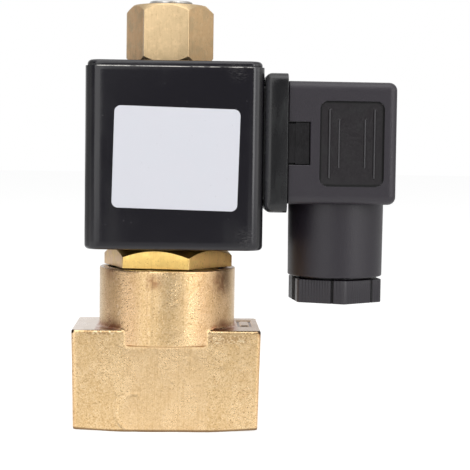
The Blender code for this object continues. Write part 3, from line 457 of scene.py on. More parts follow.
def forged_brass():
    """Sandblasted forging: tan, finely pitted, oxide in hollows, edges bright with wear and a painted
    highlight.
    """
    made = Finish("forged_brass", (0.69, 0.48, 0.245), 0.3, 1.0)
    clouds = made.grain(6 * MM, 3, (1, 1, 1.6))
    sand = made.grain(0.3 * MM, 2, rough=0.7)
    specks = made.cells(0.8 * MM)
    made.tint(made.mask(clouds, 0.4, 0.62), (0.76, 0.545, 0.3))
    made.tint(made.patches(2.2 * MM, 0.52, 0.66, 4), (0.58, 0.37, 0.17), 0.35)
    made.tint(made.mask(sand, 0.52, 0.66), (0.86, 0.66, 0.42), 0.6)
    made.tint(made.mask(sand, 0.46, 0.34), (0.4, 0.25, 0.11), 0.65)
    pits = made.times(made.mask(specks, 0.24, 0.1), made.patches(3 * MM, 0.44, 0.58))
    made.tint(pits, (0.3, 0.18, 0.08), 0.6)
    # Painted shade on faces that look up, and painted light on the left ledge's top.
    flat = made.faced("Z", 0.75, 0.95)
    made.tint(flat, (0.38, 0.27, 0.2), 0.8)
    made.tint(made.times(flat, made.mask(made.along("X"), 4 * MM, -4 * MM)), (0.78, 0.68, 0.6), 0.9)
    # Bright edges: partly wear, partly a painted highlight.
    made.tint(made.edged(0.52, 0.6), (0.9, 0.7, 0.44), 0.8)
    darken_stamp_line(made)
    chips = made.times(made.edged(0.52, 0.58), made.patches(0.7 * MM, 0.5, 0.62))
    made.tint(chips, (0.26, 0.14, 0.07), 0.7)
    made.tint(made.edged(0.49, 0.44), (0.2, 0.1, 0.05), 0.95)
    forging_stains(made)
    flow_marks(made)
    root_stain_and_foot_shade(made)
    # Painted shade on the boss's flanks, deeper on the right.
    made.tint(made.bent(0.3, 0.5, 0.97, 0.86), (0.93, 0.87, 0.86), 1.0, "MULTIPLY")
    made.tint(made.bent(-0.3, -0.5, -0.97, -0.86), (1.0, 0.94, 0.95), 1.0, "MULTIPLY")
    made.gloss(made.mask(clouds, 0.4, 0.65), 0.26)
    made.gloss(made.bent(0.5, 0.7, 0.97, 0.86), 0.4)
    made.bump(sand, 0.035 * MM)
    made.bump(made.mask(specks, 0.08, 0.28), 0.035 * MM)
    return made


def darken_stamp_line(made):
    """Darker colour in the line of the frame stamped on the ledge."""
    across = made.beyond("X", FRAME_MARK[0], FRAME_MARK_SIZE[0] / 2)
    down = made.beyond("Y", FRAME_MARK[1], FRAME_MARK_SIZE[1] / 2)
    outline = made.size(made.math("MAXIMUM", across, made.times(down, 1 / FRAME_MARK_STRETCH)))
    stamped = made.mask(outline, 0.8 * FRAME_MARK_LINE, 0.4 * FRAME_MARK_LINE)
    crown = made.mask(made.along("Z"), BLOCK_HEIGHT - MM, BLOCK_HEIGHT - 0.6 * MM)
    made.tint(made.times(crown, stamped), (0.08, 0.03, 0.015))


def forging_stains(made):
    """Red oxide in places, and the dark chipped corners of the ledges."""
    for place, reach in STAINS:
        smudge = made.times(made.near(place, reach), made.patches(1.2 * MM, 0.25, 0.6, 4))
        made.tint(smudge, (0.3, 0.13, 0.06), 0.75)
    for place in CORNER_CHIPS:
        made.tint(made.mask(made.near(place, CORNER_CHIP_REACH), 0.3, 0.8), (0.05, 0.028, 0.016))


def flow_marks(made):
    """A painted shade line under the boss, streaks of flowed metal below it, and bands of pits by the
    ledges.
    """
    # Painted shade: a dark line along the boss's lower edge, where it stands out over the block's face.
    proud = made.mask(made.size(made.along("Y")), BLOCK_DEPTH / 2, BLOCK_DEPTH / 2 + 0.15 * MM)
    under = made.band("Z", BOSS_FOOT, 0.1 * MM, 0.2 * MM)
    made.tint(made.times(proud, under), (0.3, 0.16, 0.07), 0.7)
    flow = made.times(made.band("X", 0.0, FLOW_HALF, 0.4 * MM),
                      made.mask(made.along("Z"), BOSS_FOOT, BOSS_FOOT - 0.3 * MM),
                      made.mask(made.size(made.facing("Y")), 0.7, 0.9))
    made.tint(flow, (0.8, 0.58, 0.34), 0.35)
    streaks = made.patches(0.4 * MM, 0.48, 0.66, 3, (1, 1, 14), 0.6)
    made.tint(made.times(flow, streaks), (0.54, 0.35, 0.16), 0.4)
    pitted = made.grain(0.45 * MM)
    for place, height, width, tall in PITTED_BANDS:
        band = made.times(made.band("Z", height, tall / 2, 0.3 * MM),
                          made.band("X", place, width / 2, 0.5 * MM))
        made.tint(made.times(band, made.mask(pitted, 0.42, 0.6)), (0.36, 0.21, 0.1), 0.55)
        made.tint(made.times(band, made.mask(pitted, 0.46, 0.36)), (0.94, 0.78, 0.52), 0.6)


def root_stain_and_foot_shade(made):
    """Red oxide at the root of the boss, and painted shade along the curved foot."""
    side = made.size(made.along("X"))
    depth = made.size(made.along("Y"))
    root = made.times(made.band("Z", BLOCK_HEIGHT, ROOT_STAIN / 2, ROOT_STAIN),
                      made.mask(side, FLOW_HALF, FLOW_HALF + ROOT_STAIN_START),
                      made.mask(side, *ROOT_STAIN_END),
                      made.mask(depth, BLOCK_DEPTH / 2 - 0.4 * MM, BLOCK_DEPTH / 2 - MM),
                      made.patches(1.6 * MM, 0.3, 0.6, 4))
    made.tint(root, (0.36, 0.12, 0.05), 0.75)
    # Painted shade: a dark band along the foot, rising with its curve towards the ends.
    rise = made.soft(side, BLOCK_FOOT / 2, FOOT_SHADE_END, 0.0, 1.4 * BLOCK_CROWN)
    low = made.math("SUBTRACT", made.along("Z"), rise)
    made.tint(made.mask(low, FOOT_SHADE, FOOT_SHADE / 2), (0.14, 0.08, 0.04), 0.85)


def nut_brass(name, colour, dark, roughness, left, right):
    """Drawn hexagon bar: fine lines along it, handling marks, uneven tarnish, painted light and shade on its
    sides.
    """
    made = Finish(name, colour, roughness, 1.0)
    drawn = made.grain(0.16 * MM, 3, (1, 1, 30), 0.65)
    # Painted light and shade: the left and right faces take their own colours.
    made.tint(made.faced("X", -0.5, -0.9), left)
    made.tint(made.faced("X", 0.4, 0.8), right)
    made.gloss(made.faced("X", 0.4, 0.8), 0.5)
    made.tint(made.patches(1.1 * MM, 0.48, 0.66), [min(1.0, 1.2 * c) for c in colour], 0.5)
    made.tint(made.patches(3 * MM, 0.45, 0.68, 4), [0.86 * c for c in colour], 0.6)
    made.tint(made.mask(drawn, 0.55, 0.7), dark, 0.4)
    made.tint(made.patches(0.4 * MM, 0.6, 0.7, 2), dark, 0.5)
    # Pale edges: partly wear, partly a painted highlight.
    made.tint(made.edged(0.53, 0.6), (0.95, 0.78, 0.58), 0.9)
    made.gloss(made.mask(drawn, 0.4, 0.7), roughness + 0.1)
    made.bump(drawn, 0.01 * MM)
    made.bump(made.grain(0.5 * MM, 2), 0.012 * MM)
    return made


def machined_brass():
    """Bright turned and drilled brass, finely marked."""
    made = Finish("machined_brass", (0.86, 0.63, 0.32), 0.25, 1.0)
    marks = made.grain(0.2 * MM, 2)
    made.gloss(made.mask(marks, 0.4, 0.65), 0.36)
    made.tint(made.patches(3 * MM, 0.45, 0.65), (0.78, 0.55, 0.27))
    made.bump(marks, 0.01 * MM)
    return made


def coil_plastic():
    """Glossy black potting compound with smears, dust, scuffs and a pale torn parting line."""
    made = Finish("coil_moulding", (0.006, 0.0052, 0.0088), 0.14)
    smear = made.grain(9 * MM, 4, (1, 1, 2))
    made.gloss(made.mask(smear, 0.45, 0.7), 0.22)
    made.tint(made.mask(smear, 0.5, 0.72), (0.012, 0.0115, 0.014), 0.5)
    dust = made.times(made.mask(made.cells(1.4 * MM), 0.09, 0.03), made.patches(4 * MM, 0.5, 0.62))
    made.tint(dust, (0.2, 0.2, 0.2), 0.3)
    line = made.times(made.band("Z", PARTING, 0.03 * MM, 0.09 * MM),
                      made.band("X", COIL_MIDDLE, PARTING_HALF, 0.6 * MM),
                      made.patches(2.4 * MM, 0.36, 0.62, 5, rough=0.65))
    made.tint(line, (0.6, 0.58, 0.55))
    # Painted highlight on the rounded vertical corners.
    sideways = made.size(made.facing("X"))
    corner = made.times(made.mask(sideways, 0.45, 0.65), made.mask(sideways, 0.95, 0.8))
    made.tint(corner, (0.024, 0.0235, 0.025))
    for place, reach in SCUFFS:
        scuff = made.times(made.near(place, reach), made.patches(0.16 * MM, 0.46, 0.7, 4, (4, 4, 1), 0.7))
        made.tint(scuff, (0.3, 0.29, 0.28), 0.16)
        made.gloss(scuff, 0.34)
    made.bump(made.grain(0.8 * MM, 2), 0.004 * MM)
    return made


def plug_plastic():
    """Fine spark-textured black plastic that looks dark grey."""
    made = Finish("plug_moulding", (0.0174, 0.0138, 0.02), 0.4)
    fine = made.grain(0.22 * MM, 2)
    made.tint(made.patches(5 * MM, 0.45, 0.7), (0.02, 0.0168, 0.023), 0.6)
    # Painted highlight along the rims, except on faces that look along X.
    rim_highlight = made.times(made.edged(0.53, 0.62), made.mask(made.size(made.facing("X")), 0.99, 0.95))
    made.tint(rim_highlight, (0.045, 0.043, 0.046), 0.6)
    # Painted shade on the gland tube.
    made.tint(made.mask(made.along("Z"), *GLAND_TUBE_SHADE), (0.0118, 0.0088, 0.014), 0.6)
    made.gloss(made.mask(fine, 0.4, 0.65), 0.46)
    made.bump(fine, 0.025 * MM)
    return made


def grip_plastic(axis):
    """The gland nut's plastic as the plug's, painted light on crests and a flank, painted shade in grooves.
    """
    made = Finish("gland_nut_plastic", (0.0105, 0.0076, 0.0125), 0.36)
    fine = made.grain(0.22 * MM, 2)
    made.tint(made.patches(3 * MM, 0.45, 0.7), (0.0145, 0.0115, 0.017), 0.6)
    across = made.math("SUBTRACT", made.along("X"), axis)
    depth = made.along("Y")
    radius = made.math("SQRT", made.math("ADD", made.times(across, across), made.times(depth, depth)))
    # Painted highlight on the crests of the teeth.
    crest = made.mask(radius, GLAND_NUT_PEAK - 0.4 * MM, GLAND_NUT_PEAK - 0.15 * MM)
    made.tint(crest, (0.024, 0.021, 0.026))
    # Painted shade in the grooves between the teeth.
    first = math.radians(GLAND_NUT_TURN - GLAND_NUT_FLANK)
    turned = made.math("SUBTRACT", made.math("ARCTAN2", depth, across), first)
    groove = made.mask(made.math("PINGPONG", turned, math.pi / 6), *map(math.radians, GROOVE_SHADE))
    made.tint(groove, (0.0015, 0.0012, 0.0014))
    made.gloss(groove, 0.9)
    # On the side towards the coil: painted light on the short flanks, painted shade on each long flat's end.
    sector = made.math("FLOORED_MODULO", turned, math.pi / 3)
    coil_side = made.mask(across, *COIL_SIDE)
    flank = made.times(coil_side, made.mask(sector, *map(math.radians, LIT_FLANK)))
    made.tint(flank, (0.06, 0.053, 0.058))
    shade = made.times(coil_side, made.mask(sector, *map(math.radians, SHADED_FLAT)))
    made.tint(shade, (0.001, 0.0008, 0.001))
    made.gloss(shade, 1.0)
    made.gloss(made.mask(fine, 0.4, 0.65), 0.46, 0.5)
    made.bump(fine, 0.015 * MM)
    return made


def panel_plastic(centre):
    """The plug's smoother sunk panel: painted shade along its outline, painted highlights on the ribs'
    crests.
    """
    made = Finish("panel_moulding", (0.0078, 0.0056, 0.0076), 0.36, specular=0.4)
    fine = made.grain(0.4 * MM, 2)
    made.tint(made.patches(3 * MM, 0.45, 0.7), (0.011, 0.0105, 0.0115), 0.6)
    # Painted highlight on the crests of the ribs.
    made.tint(made.mask(made.size(made.along("Y")), *RIB_CREST), (0.06, 0.058, 0.062), 0.9)
    made.gloss(made.mask(fine, 0.4, 0.65), 0.5)
    # Painted shade along the sunk panel's outline.
    inset = made.math("MAXIMUM", made.beyond("X", centre[0], PANEL_SIZE[0] / 2),
                      made.beyond("Z", centre[1], PANEL_SIZE[1] / 2))
    outline = made.mask(inset, -3.2 * PANEL_SLOPE, -PANEL_SLOPE)
    made.tint(outline, (0.001, 0.001, 0.001))
    made.gloss(outline, 0.8)
    made.bump(fine, 0.01 * MM)
    return made


def base_plastic():
    """The flange's darker, slightly green black, with a dull smear down its middle."""
    made = Finish("base_moulding", (0.0036, 0.0036, 0.0046), 0.24)
    smear = made.grain(3 * MM, 4, (1, 1, 3))
    made.tint(made.mask(smear, 0.48, 0.68), (0.011, 0.0125, 0.0125), 0.7)
    # Painted highlight along the edges.
    made.tint(made.edged(0.53, 0.62), (0.04, 0.04, 0.041), 0.6)
    # Painted light on the side that faces left.
    made.tint(made.faced("X", -0.2, -0.7), (0.034, 0.034, 0.038))
    made.gloss(made.mask(smear, 0.4, 0.65), 0.32)
    made.bump(made.grain(0.3 * MM, 2), 0.012 * MM)
    return made


def label_paper():
    """Satin white film, a little uneven."""
    made = Finish("label_face", (0.635, 0.64, 0.69), 0.4)
    made.tint(made.patches(5 * MM, 0.4, 0.65), (0.63, 0.64, 0.69))
    made.tint(made.mask(made.cells(2.2 * MM), 0.06, 0.02), (0.4, 0.4, 0.42), 0.5)
    made.gloss(made.patches(3 * MM, 0.4, 0.6), 0.5)
    made.bump(made.grain(1.5 * MM, 2), 0.006 * MM)
    return made


def steel(name, colour, roughness):
    made = Finish(name, colour, roughness, 1.0)
    lines = made.grain(0.3 * MM)
    made.tint(made.patches(3 * MM, 0.42, 0.62), [0.82 * c for c in colour])
    made.gloss(made.mask(lines, 0.4, 0.65), roughness + 0.1)
    made.bump(lines, 0.008 * MM)
    return made


def soft_black(name, colour, roughness, specular=0.5):
    made = Finish(name, colour, roughness, specular=specular)
    fine = made.grain(0.4 * MM, 2)
    made.tint(made.patches(4 * MM, 0.42, 0.65), [1.7 * c for c in colour])
    made.gloss(made.mask(fine, 0.4, 0.65), roughness - 0.1)
    made.bump(fine, 0.02 * MM)
    return made


def copper_wire():
    """Enamelled wire, wound in level turns."""
    made = Finish("copper", (0.62, 0.24, 0.1), 0.35, 1.0)
    layers = made.grain(0.22 * MM, 1, (60, 60, 1))
    made.tint(made.mask(layers, 0.45, 0.6), (0.4, 0.13, 0.05))
    made.gloss(made.mask(layers, 0.45, 0.6), 0.5)
    made.bump(layers, 0.05 * MM)
    return made


def smoothed(mesh, sharp=35):
    """Shade smooth up to sharp edges."""
    mesh.shade_smooth()
    mesh.set_sharp_from_angle(angle=math.radians(sharp))
    return mesh


def lofted(name, rings, joined=False, closed=True):
    """A mesh through rings of equally many points, with its faces turned outwards.

    joined ties the last ring to the first, or else the two end rings are filled;
    closed ties each ring's last point to its first."""
    points = np.array([[tuple(p) for p in ring] for ring in rings], float)
    count, around = points.shape[:2]
    number = np.arange(count * around).reshape(count, around)
    ends = [number[0, ::-1].tolist(), number[-1].tolist()]
    if joined:
        number = np.vstack([number, number[:1]])
    if closed:
        number = np.hstack([number, number[:, :1]])
    quads = np.stack([number[:-1, :-1], number[:-1, 1:], number[1:, 1:], number[1:, :-1]], axis=-1)
    faces = quads.reshape(-1, 4).tolist()
    if not joined:
        faces += ends
    mesh = bpy.data.meshes.new(name)
    mesh.from_pydata(points.reshape(-1, 3).tolist(), [], faces)
    shape = bmesh.new()
    shape.from_mesh(mesh)
    bmesh.ops.remove_doubles(shape, verts=shape.verts, dist=MERGE)
    bmesh.ops.recalc_face_normals(shape, faces=shape.faces)
    shape.to_mesh(mesh)
    shape.free()
    return smoothed(mesh)


def turns(count):
    return [FULL_TURN * i / count for i in range(count)]


def spun(name, section, angles, centre=(0, 0, 0), along_x=False):
    """A turned mesh. The section lists points (radius, height) down the outer side of the cut.

    Where the cut differs from angle to angle, section(angle) gives the list."""
    rings = []
    for angle in angles:
        points = section(angle) if callable(section) else section
        ring = []
        for radius, height in points:
            u = radius * math.cos(angle)
            v = radius * math.sin(angle)
            ring.append(Vector((height, u, v) if along_x else (u, v, height)) + Vector(centre))
        rings.append(ring)
    solid = points[0][0] < MERGE
    return lofted(name, rings, joined=True, closed=not solid)


def stepped(top, *parts):
    """The section of a stepped cylinder: from the top down, each part's radius and lower end."""
    points = [(0, top)]
    for radius, bottom in parts:
        points += [(radius, top), (radius, bottom)]
        top = bottom
    return [*points, (0, top)]


def rounded(corners, steps=4, closed=False):
    """The points of a line whose corners, listed as (u, v, radius), are rounded off."""
    points = []
    for i, (u, v, radius) in enumerate(corners):
        here = Vector((u, v))
        if radius == 0 or (not closed and i in (0, len(corners) - 1)):
            points.append(here)
            continue
        back = Vector(corners[i - 1][:2]) - here
        ahead = Vector(corners[(i + 1) % len(corners)][:2]) - here
        half = back.angle(ahead) / 2
        reach = min(radius / math.tan(half), 0.49 * back.length, 0.49 * ahead.length)
        back.normalize()
        ahead.normalize()
        middle = here + (back + ahead).normalized() * (reach / math.cos(half))
        first = here + back * reach - middle
        last = here + ahead * reach - middle
        points += [middle + first.slerp(last, k / steps) * first.length for k in range(steps + 1)]
    return points


def rectangle(low, high, corner, points, inset=0.0):
    """A rounded rectangle inside two corners (u, v), with points spread along its sides, across and up."""
    u0, u1 = low[0] + inset + corner, high[0] - inset - corner
    v0, v1 = low[1] + inset + corner, high[1] - inset - corner
    middles = ((u1, v1), (u0, v1), (u0, v0), (u1, v0))

    def on_arc(turn, share):
        u, v = middles[turn % 4]
        angle = math.pi / 2 * (turn + share)
        return Vector((u + corner * math.cos(angle), v + corner * math.sin(angle)))
    ring = []
    for turn in range(4):
        ring += [on_arc(turn, k / CORNER_STEPS) for k in range(CORNER_STEPS + 1)]
        count = points[turn % 2]
        ring += [on_arc(turn, 1).lerp(on_arc(turn + 1, 0), k / count) for k in range(1, count)]
    return ring


def rim(end, radius, steps, inwards):
    """Places and insets round a rounded rim: inwards is 1 at a piece's low end and -1 at its high end."""
    angles = [math.pi / 2 * k / steps for k in range(steps + 1)]
    levels = [(end + inwards * radius * (1 - math.sin(a)), radius * (1 - math.cos(a))) for a in angles]
    return levels[::-1] if inwards > 0 else levels


def circle_like(ring, centre, radius):
    """As many points as the ring has, in the same directions, on a circle."""
    return [Vector(centre) + (p - Vector(centre)).normalized() * radius for p in ring]


def linked(name, data):
    made = bpy.data.objects.new(name, data)
    bpy.context.scene.collection.objects.link(made)
    return made


def evaluated(made, *helpers):
    """The mesh of an object with its modifiers applied. The object and its helpers are removed."""
    bpy.context.view_layer.update()
    graph = bpy.context.evaluated_depsgraph_get()
    mesh = bpy.data.meshes.new_from_object(made.evaluated_get(graph))
    for old in (made, *helpers):
        bpy.data.objects.remove(old, do_unlink=True)
    return mesh


def carved(mesh, others, operation="DIFFERENCE", sharp=35):
    """A mesh with others cut out of it, or joined to it. Cut faces take the cutter's material."""
    target = linked(mesh.name, mesh)
    tools = []
    for other in others:
        tool = linked(other.name, other)
        step = target.modifiers.new(other.name, "BOOLEAN")
        step.operation = operation
        step.solver = "MANIFOLD"
        step.material_mode = "TRANSFER"
        step.object = tool
        tools.append(tool)
    return smoothed(evaluated(target, *tools), sharp)


def dress(name, mesh, body, slot, finish, *replaced):
    """A piece of the dressed model, riding on a body and standing for CAD nodes."""
    if finish is not None:
        mesh.materials.clear()
        mesh.materials.append(finish.material)
    made = linked(name, mesh)
    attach(made, body)
    if replaced:
        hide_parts(*replaced)
    return made


def ease(value, low, high):
    """Smooth step from 0 at low to 1 at high."""
    t = min(1.0, max(0.0, (value - low) / (high - low)))
    return t * t * (3 - 2 * t)


def thread(length, pitch, root, crest, angle, steps=8):
    """Points (radius, height from the start) along a screw thread, as cut at one angle."""
    points = []
    count = round(length / pitch * steps)
    for k in range(count + 1):
        height = length * k / count
        phase = (height / pitch - angle / FULL_TURN) % 1.0
        rise = min(1.0, max(0.0, FLANK_SLOPE * abs(2 * phase - 1) - FLANK_START))
        points.append((root + (crest - root) * rise, height))
    return points


def block_outline(width, inset):
    """Front view of the block: drafted sides and a foot whose ends curve up a little."""
    top = width / 2 - inset
    bottom = top - BLOCK_DRAFT
    edge = max(BLOCK_EDGE - inset, LEAST_EDGE)
    rise = inset * FOOT_EDGE
    ledge = BLOCK_HEIGHT - inset * LEDGE_EDGE
    corners = [(top, ledge, edge * LEDGE_EDGE), (-top, ledge, edge * LEDGE_EDGE),
               (-bottom, BLOCK_CROWN + rise, edge * FOOT_EDGE), (-BLOCK_FOOT / 2, rise, FOOT_ROUND),
               (BLOCK_FOOT / 2, rise, FOOT_ROUND), (bottom, BLOCK_CROWN + rise, edge * FOOT_EDGE)]
    return rounded(corners, 5, closed=True)


def forging_blank(low, high):
    """The raw forging, as one skin of even small faces."""
    half = BLOCK_DEPTH / 2 - SKIN_ALLOWANCE
    width = high.x - low.x - 2 * SKIN_ALLOWANCE
    levels = rim(-half, BLOCK_EDGE, 5, 1) + rim(half, BLOCK_EDGE, 5, -1)
    block = lofted("block", [[(x, y, z) for x, z in block_outline(width, inset)] for y, inset in levels])
    radius = high.y - SKIN_ALLOWANCE
    top = high.z - SKIN_ALLOWANCE
    section = rounded([(0, top, 0), (radius, top, BOSS_EDGE), (radius, BOSS_FOOT, BOSS_EDGE),
                       (0, BOSS_FOOT, 0)])
    raw = bmesh.new()
    raw.from_mesh(block)
    raw.from_mesh(spun("boss", section, turns(96)))
    raw.to_mesh(block)
    raw.free()
    blank = linked("blank", block)
    skin = blank.modifiers.new("skin", "REMESH")
    skin.mode = "VOXEL"
    skin.voxel_size = VOXEL
    relax = blank.modifiers.new("relax", "SMOOTH")
    relax.factor = 0.5
    relax.iterations = 3
    return evaluated(blank)


def waves(place, sizes):
    """Noise at a place, summed over features of several sizes and heights."""
    return sum(height * noise.noise(place / size) for size, height in sizes)


def forging_relief(point):
    """Height of the forged skin: waves, grain and pits, a ridge on the boss and a scratch below it."""
    x, y, z = point
    place = Vector(point)
    height = waves(place, SKIN_NOISE)
    height -= SKIN_PITS[1] * ease(noise.noise(place / SKIN_PITS[0] + Vector(PIT_SHIFT)), *PIT_LEVELS)
    if y < 0 and z > BOSS_FOOT:
        height += RIDGE_HEIGHT * (1 - ease(abs(x - RIDGE_PLACE), *RIDGE_SPREAD))
    if y < -BLOCK_DEPTH / 2 + MM and x < SCRATCH[0] + MM:
        away = abs(math.hypot(x - SCRATCH[0], z - SCRATCH[1]) - SCRATCH_RADIUS)
        height -= SCRATCH_DEPTH * (1 - ease(away, *SCRATCH_SPREAD))
    return height


def frame_mark(point):
    """Depth of a plain stamped frame on the ledge beside the boss."""
    x, y, z = point
    if z < BLOCK_HEIGHT - MM:
        return 0.0
    u = abs(x - FRAME_MARK[0]) - FRAME_MARK_SIZE[0] / 2
    v = abs(y - FRAME_MARK[1]) - FRAME_MARK_SIZE[1] / 2
    away = abs(max(u, v / FRAME_MARK_STRETCH))
    return FRAME_MARK_DEPTH * (1 - ease(away, FRAME_MARK_LINE / 2, FRAME_MARK_LINE * 1.2))


def roughened(mesh, low):
    """Move the skin along its normals, and keep it above the floor of the CAD's box."""
    count = len(mesh.vertices)
    places = np.zeros(count * 3)
    normals = np.zeros(count * 3)
    mesh.vertices.foreach_get("co", places)
    mesh.vertex_normals.foreach_get("vector", normals)
    places = places.reshape(-1, 3)
    height = np.array([forging_relief(p) - frame_mark(p) for p in places])
    places += normals.reshape(-1, 3) * height[:, None]
    places[:, 2] = np.maximum(places[:, 2], low.z)
    mesh.vertices.foreach_set("co", places.ravel())
    mesh.update()
    return mesh


def port_cutter(side, face):
    """A tapped port: spot face, chamfered mouth, thread and drilled end."""
    mouth = [(0, PORT_FACE_REACH), (PORT_FACE_RADIUS, PORT_FACE_REACH), (PORT_FACE_RADIUS, 0),
             (PORT_MOUTH, 0)]

    def section(angle):
        cut = thread(PORT_DEPTH - MM, PORT_PITCH, PORT_ROOT, PORT_CREST, angle)
        tapped = [(min(r, PORT_MOUTH - LEAST_EDGE), -PORT_LEAD - h) for r, h in cut]
        return mouth + tapped + [(PORT_CREST, -PORT_DEPTH), (0, -PORT_DEPTH - MM)]
    mesh = spun("port_%s" % side, section, turns(72), along_x=True)
    turn = Matrix.Rotation(math.pi if side < 0 else 0.0, 4, "Z")
    mesh.transform(Matrix.Translation((side * face, 0, PORT_HEIGHT)) @ turn)
    return mesh


def drilled(name, radius, first, last):
    """A plain round hole between two points, listed as (x, z)."""
    first = Vector((first[0], 0, first[1]))
    reach = Vector((last[0], 0, last[1])) - first
    mesh = spun(name, stepped(reach.length, (radius, 0)), turns(40))
    turn = Vector((0, 0, 1)).rotation_difference(reach).to_matrix().to_4x4()
    mesh.transform(Matrix.Translation(first) @ turn)
    return mesh


def make_body(skin, machined):
    low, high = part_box("valve_body")
    mesh = roughened(forging_blank(low, high), low)
    mesh.materials.append(skin.material)
    section = stepped(high.z + MM, (RING_SEAT_RADIUS, high.z - RING_SEAT_DEPTH),
                      (THREAD_RADIUS, THREAD_FLOOR), (CHAMBER_RADIUS, CHAMBER_FLOOR),
                      (SEAT_RADIUS, SEAT_TOP))
    face = high.x - PORT_FACE_CUT
    start = face - PORT_DEPTH + MM
    outlet_end = DROP_PLACE - DROP_RADIUS / 3
    drill_end = PORT_HEIGHT - PASSAGE_RADIUS / 3
    cutters = [
        spun("chamber", section, turns(72)),
        drilled("orifice", ORIFICE_RADIUS, (0, drill_end), (0, SEAT_TOP + MM)),
        drilled("outlet_drop", DROP_RADIUS, (DROP_PLACE, drill_end), (DROP_PLACE, CHAMBER_FLOOR + MM)),
        port_cutter(-1, face),
        port_cutter(1, face),
        drilled("inlet_way", PASSAGE_RADIUS, (-start, PORT_HEIGHT), (INLET_END, PORT_HEIGHT)),
        drilled("outlet_way", PASSAGE_RADIUS, (start, PORT_HEIGHT), (outlet_end, PORT_HEIGHT))]
    for cutter in cutters:
        cutter.materials.append(machined.material)
    mesh = carved(mesh, cutters, sharp=BODY_SHARP)
    dress("body_forging", mesh, "valve", "forged_brass", None, "valve_body")


def hexagon_radius(angle, flats, corner):
    """From the middle of a hexagon to its side, where the corners are rounded a little."""
    off = (angle + math.pi / 6) % (math.pi / 3) - math.pi / 6
    half = flats / 2
    bend = (half - corner) * math.tan(math.pi / 6)
    if abs(off) <= math.atan2(bend, half):
        return half / math.cos(off)
    reach = (half - corner) / math.cos(math.pi / 6)
    slant = math.pi / 6 - abs(off)
    return reach * math.cos(slant) + math.sqrt(corner ** 2 - (reach * math.sin(slant)) ** 2)


def hexagon_turns(turn):
    """Angles round a hexagon, closer together at its corners."""
    sector = [*np.linspace(-30, -27.5, 8), *np.linspace(-26, 26, 17), *np.linspace(27.5, 30, 8)[:-1]]
    return [math.radians(60 * i + s + turn) for i in range(6) for s in sector]


def make_nut(name, node, finish, flats, chamfer, turn, bore, foot):
    """A hexagon nut with a chamfered top. foot(side, low, high) lists its corners below that."""
    low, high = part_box(node)
    slope = math.tan(math.radians(chamfer))
    land = flats / 2 - NUT_LAND

    def section(angle):
        side = hexagon_radius(angle - math.radians(turn), flats, NUT_CORNER)
        top = [(bore, high.z, 0), (land, high.z, NUT_EDGE), (side, high.z - (side - land) * slope, NUT_EDGE)]
        return rounded([*top, *foot(side, low.z, high.z), (bore, low.z, 0)], 3)
    dress(name, spun(name, section, hexagon_turns(turn)), "valve", "turned_brass", finish, node)


def base_nut_foot(side, low, high):
    """The underside of the hexagon, and the spigot down into the boss."""
    bottom = high - BASE_NUT_HEIGHT
    spigot = THREAD_RADIUS - CLEARANCE
    return [(side, bottom, NUT_EDGE), (spigot, bottom, NUT_EDGE), (spigot, low, NUT_EDGE)]


def coil_nut_foot(side, low, high):
    """A chamfer under the hexagon, deepest at its corners."""
    corner = COIL_NUT_FLATS / 2 / math.cos(math.pi / 6)
    lift = max(LEAST_EDGE, side - corner + COIL_NUT_LOW_CHAMFER)
    return [(side, low + lift, NUT_EDGE / 2), (side - lift, low, NUT_EDGE / 2)]


def make_stud(finish):
    """The fixed core, with the thread of its stud cut."""
    low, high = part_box("fixed_core")
    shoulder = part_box("coil_housing")[1].z - CLEARANCE
    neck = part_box("guide_tube")[1].z + CLEARANCE
    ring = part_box("shading_ring")[1]
    outer = ring.x + CLEARANCE
    inner = outer - RING_GROOVE
    groove = ring.z + CLEARANCE
    length = high.z - shoulder - MM
    core = stepped(shoulder, (CORE_RADIUS, neck), (CORE_FACE_RADIUS, low.z), (outer, groove), (inner, low.z))

    def section(angle):
        cut = thread(length, STUD_PITCH, STUD_ROOT, STUD_RADIUS, angle)
        tapered = [(min(r, STUD_TIP + length + MM / 2 - h), shoulder + MM + h) for r, h in cut]
        return [(0, high.z), *tapered[::-1], (STUD_ROOT, shoulder), *core[1:]]
    dress("core_stud", spun("core_stud", section, turns(64)), "valve", "stainless", finish, "fixed_core")


def coil_point(point, z, centre, parting):
    """A point of the moulded skin, with slow waves, and with ragged flash at the parting line."""
    u, v = point
    out = (point - centre).normalized()
    shift = COIL_WAVE * (waves(Vector((u, v, z)), COIL_WAVES) - 1)
    ragged = max(0.0, waves(Vector((u, v, 0)), COIL_RAGGED))
    flash = COIL_FLASH * ragged * (1 - ease(abs(z - parting), *FLASH_SPREAD))
    return Vector((u + out.x * shift, v + out.y * shift, z + flash))


def make_coil(finish):
    low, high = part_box("coil_housing")
    parting = high.z - COIL_LIP_HEIGHT
    first = low.z + COIL_RIM
    levels = rim(low.z, COIL_RIM, 6, 1)
    levels += [(first + (parting - first) * k / COIL_LEVELS, 0) for k in range(1, COIL_LEVELS)]
    levels += [(parting + up, inset) for up, inset in COIL_LIP]
    levels += [(z, COIL_LIP_STEP + inset) for z, inset in rim(high.z, COIL_RIM, 6, -1)]
    centre = Vector(((low.x + high.x) / 2, 0))
    rings = []
    for z, inset in levels:
        corner = max(COIL_CORNER - inset, 2 * LEAST_EDGE)
        ring = rectangle((low.x, low.y), (high.x, high.y), corner, COIL_POINTS, inset)
        rings.append([coil_point(p, z, centre, parting) for p in ring])
    for z, edge in ((high.z, rings[-1]), (low.z, rings[0])):
        rings.append(circle_like([Vector((p.x, p.y, z)) for p in edge], (0, 0, z), COIL_BORE))
    mesh = lofted("coil_case", rings, joined=True)
    dress("coil_case", carved(mesh, coil_hollows(high)), "coil", "coil_moulding", finish, "coil_housing")


def block_mesh(name, low, high):
    """A plain box, used as a cutter."""
    (x0, y0, z0), (x1, y1, z1) = low, high
    return lofted(name, [[(x0, y0, z), (x1, y0, z), (x1, y1, z), (x0, y1, z)] for z in (z0, z1)])


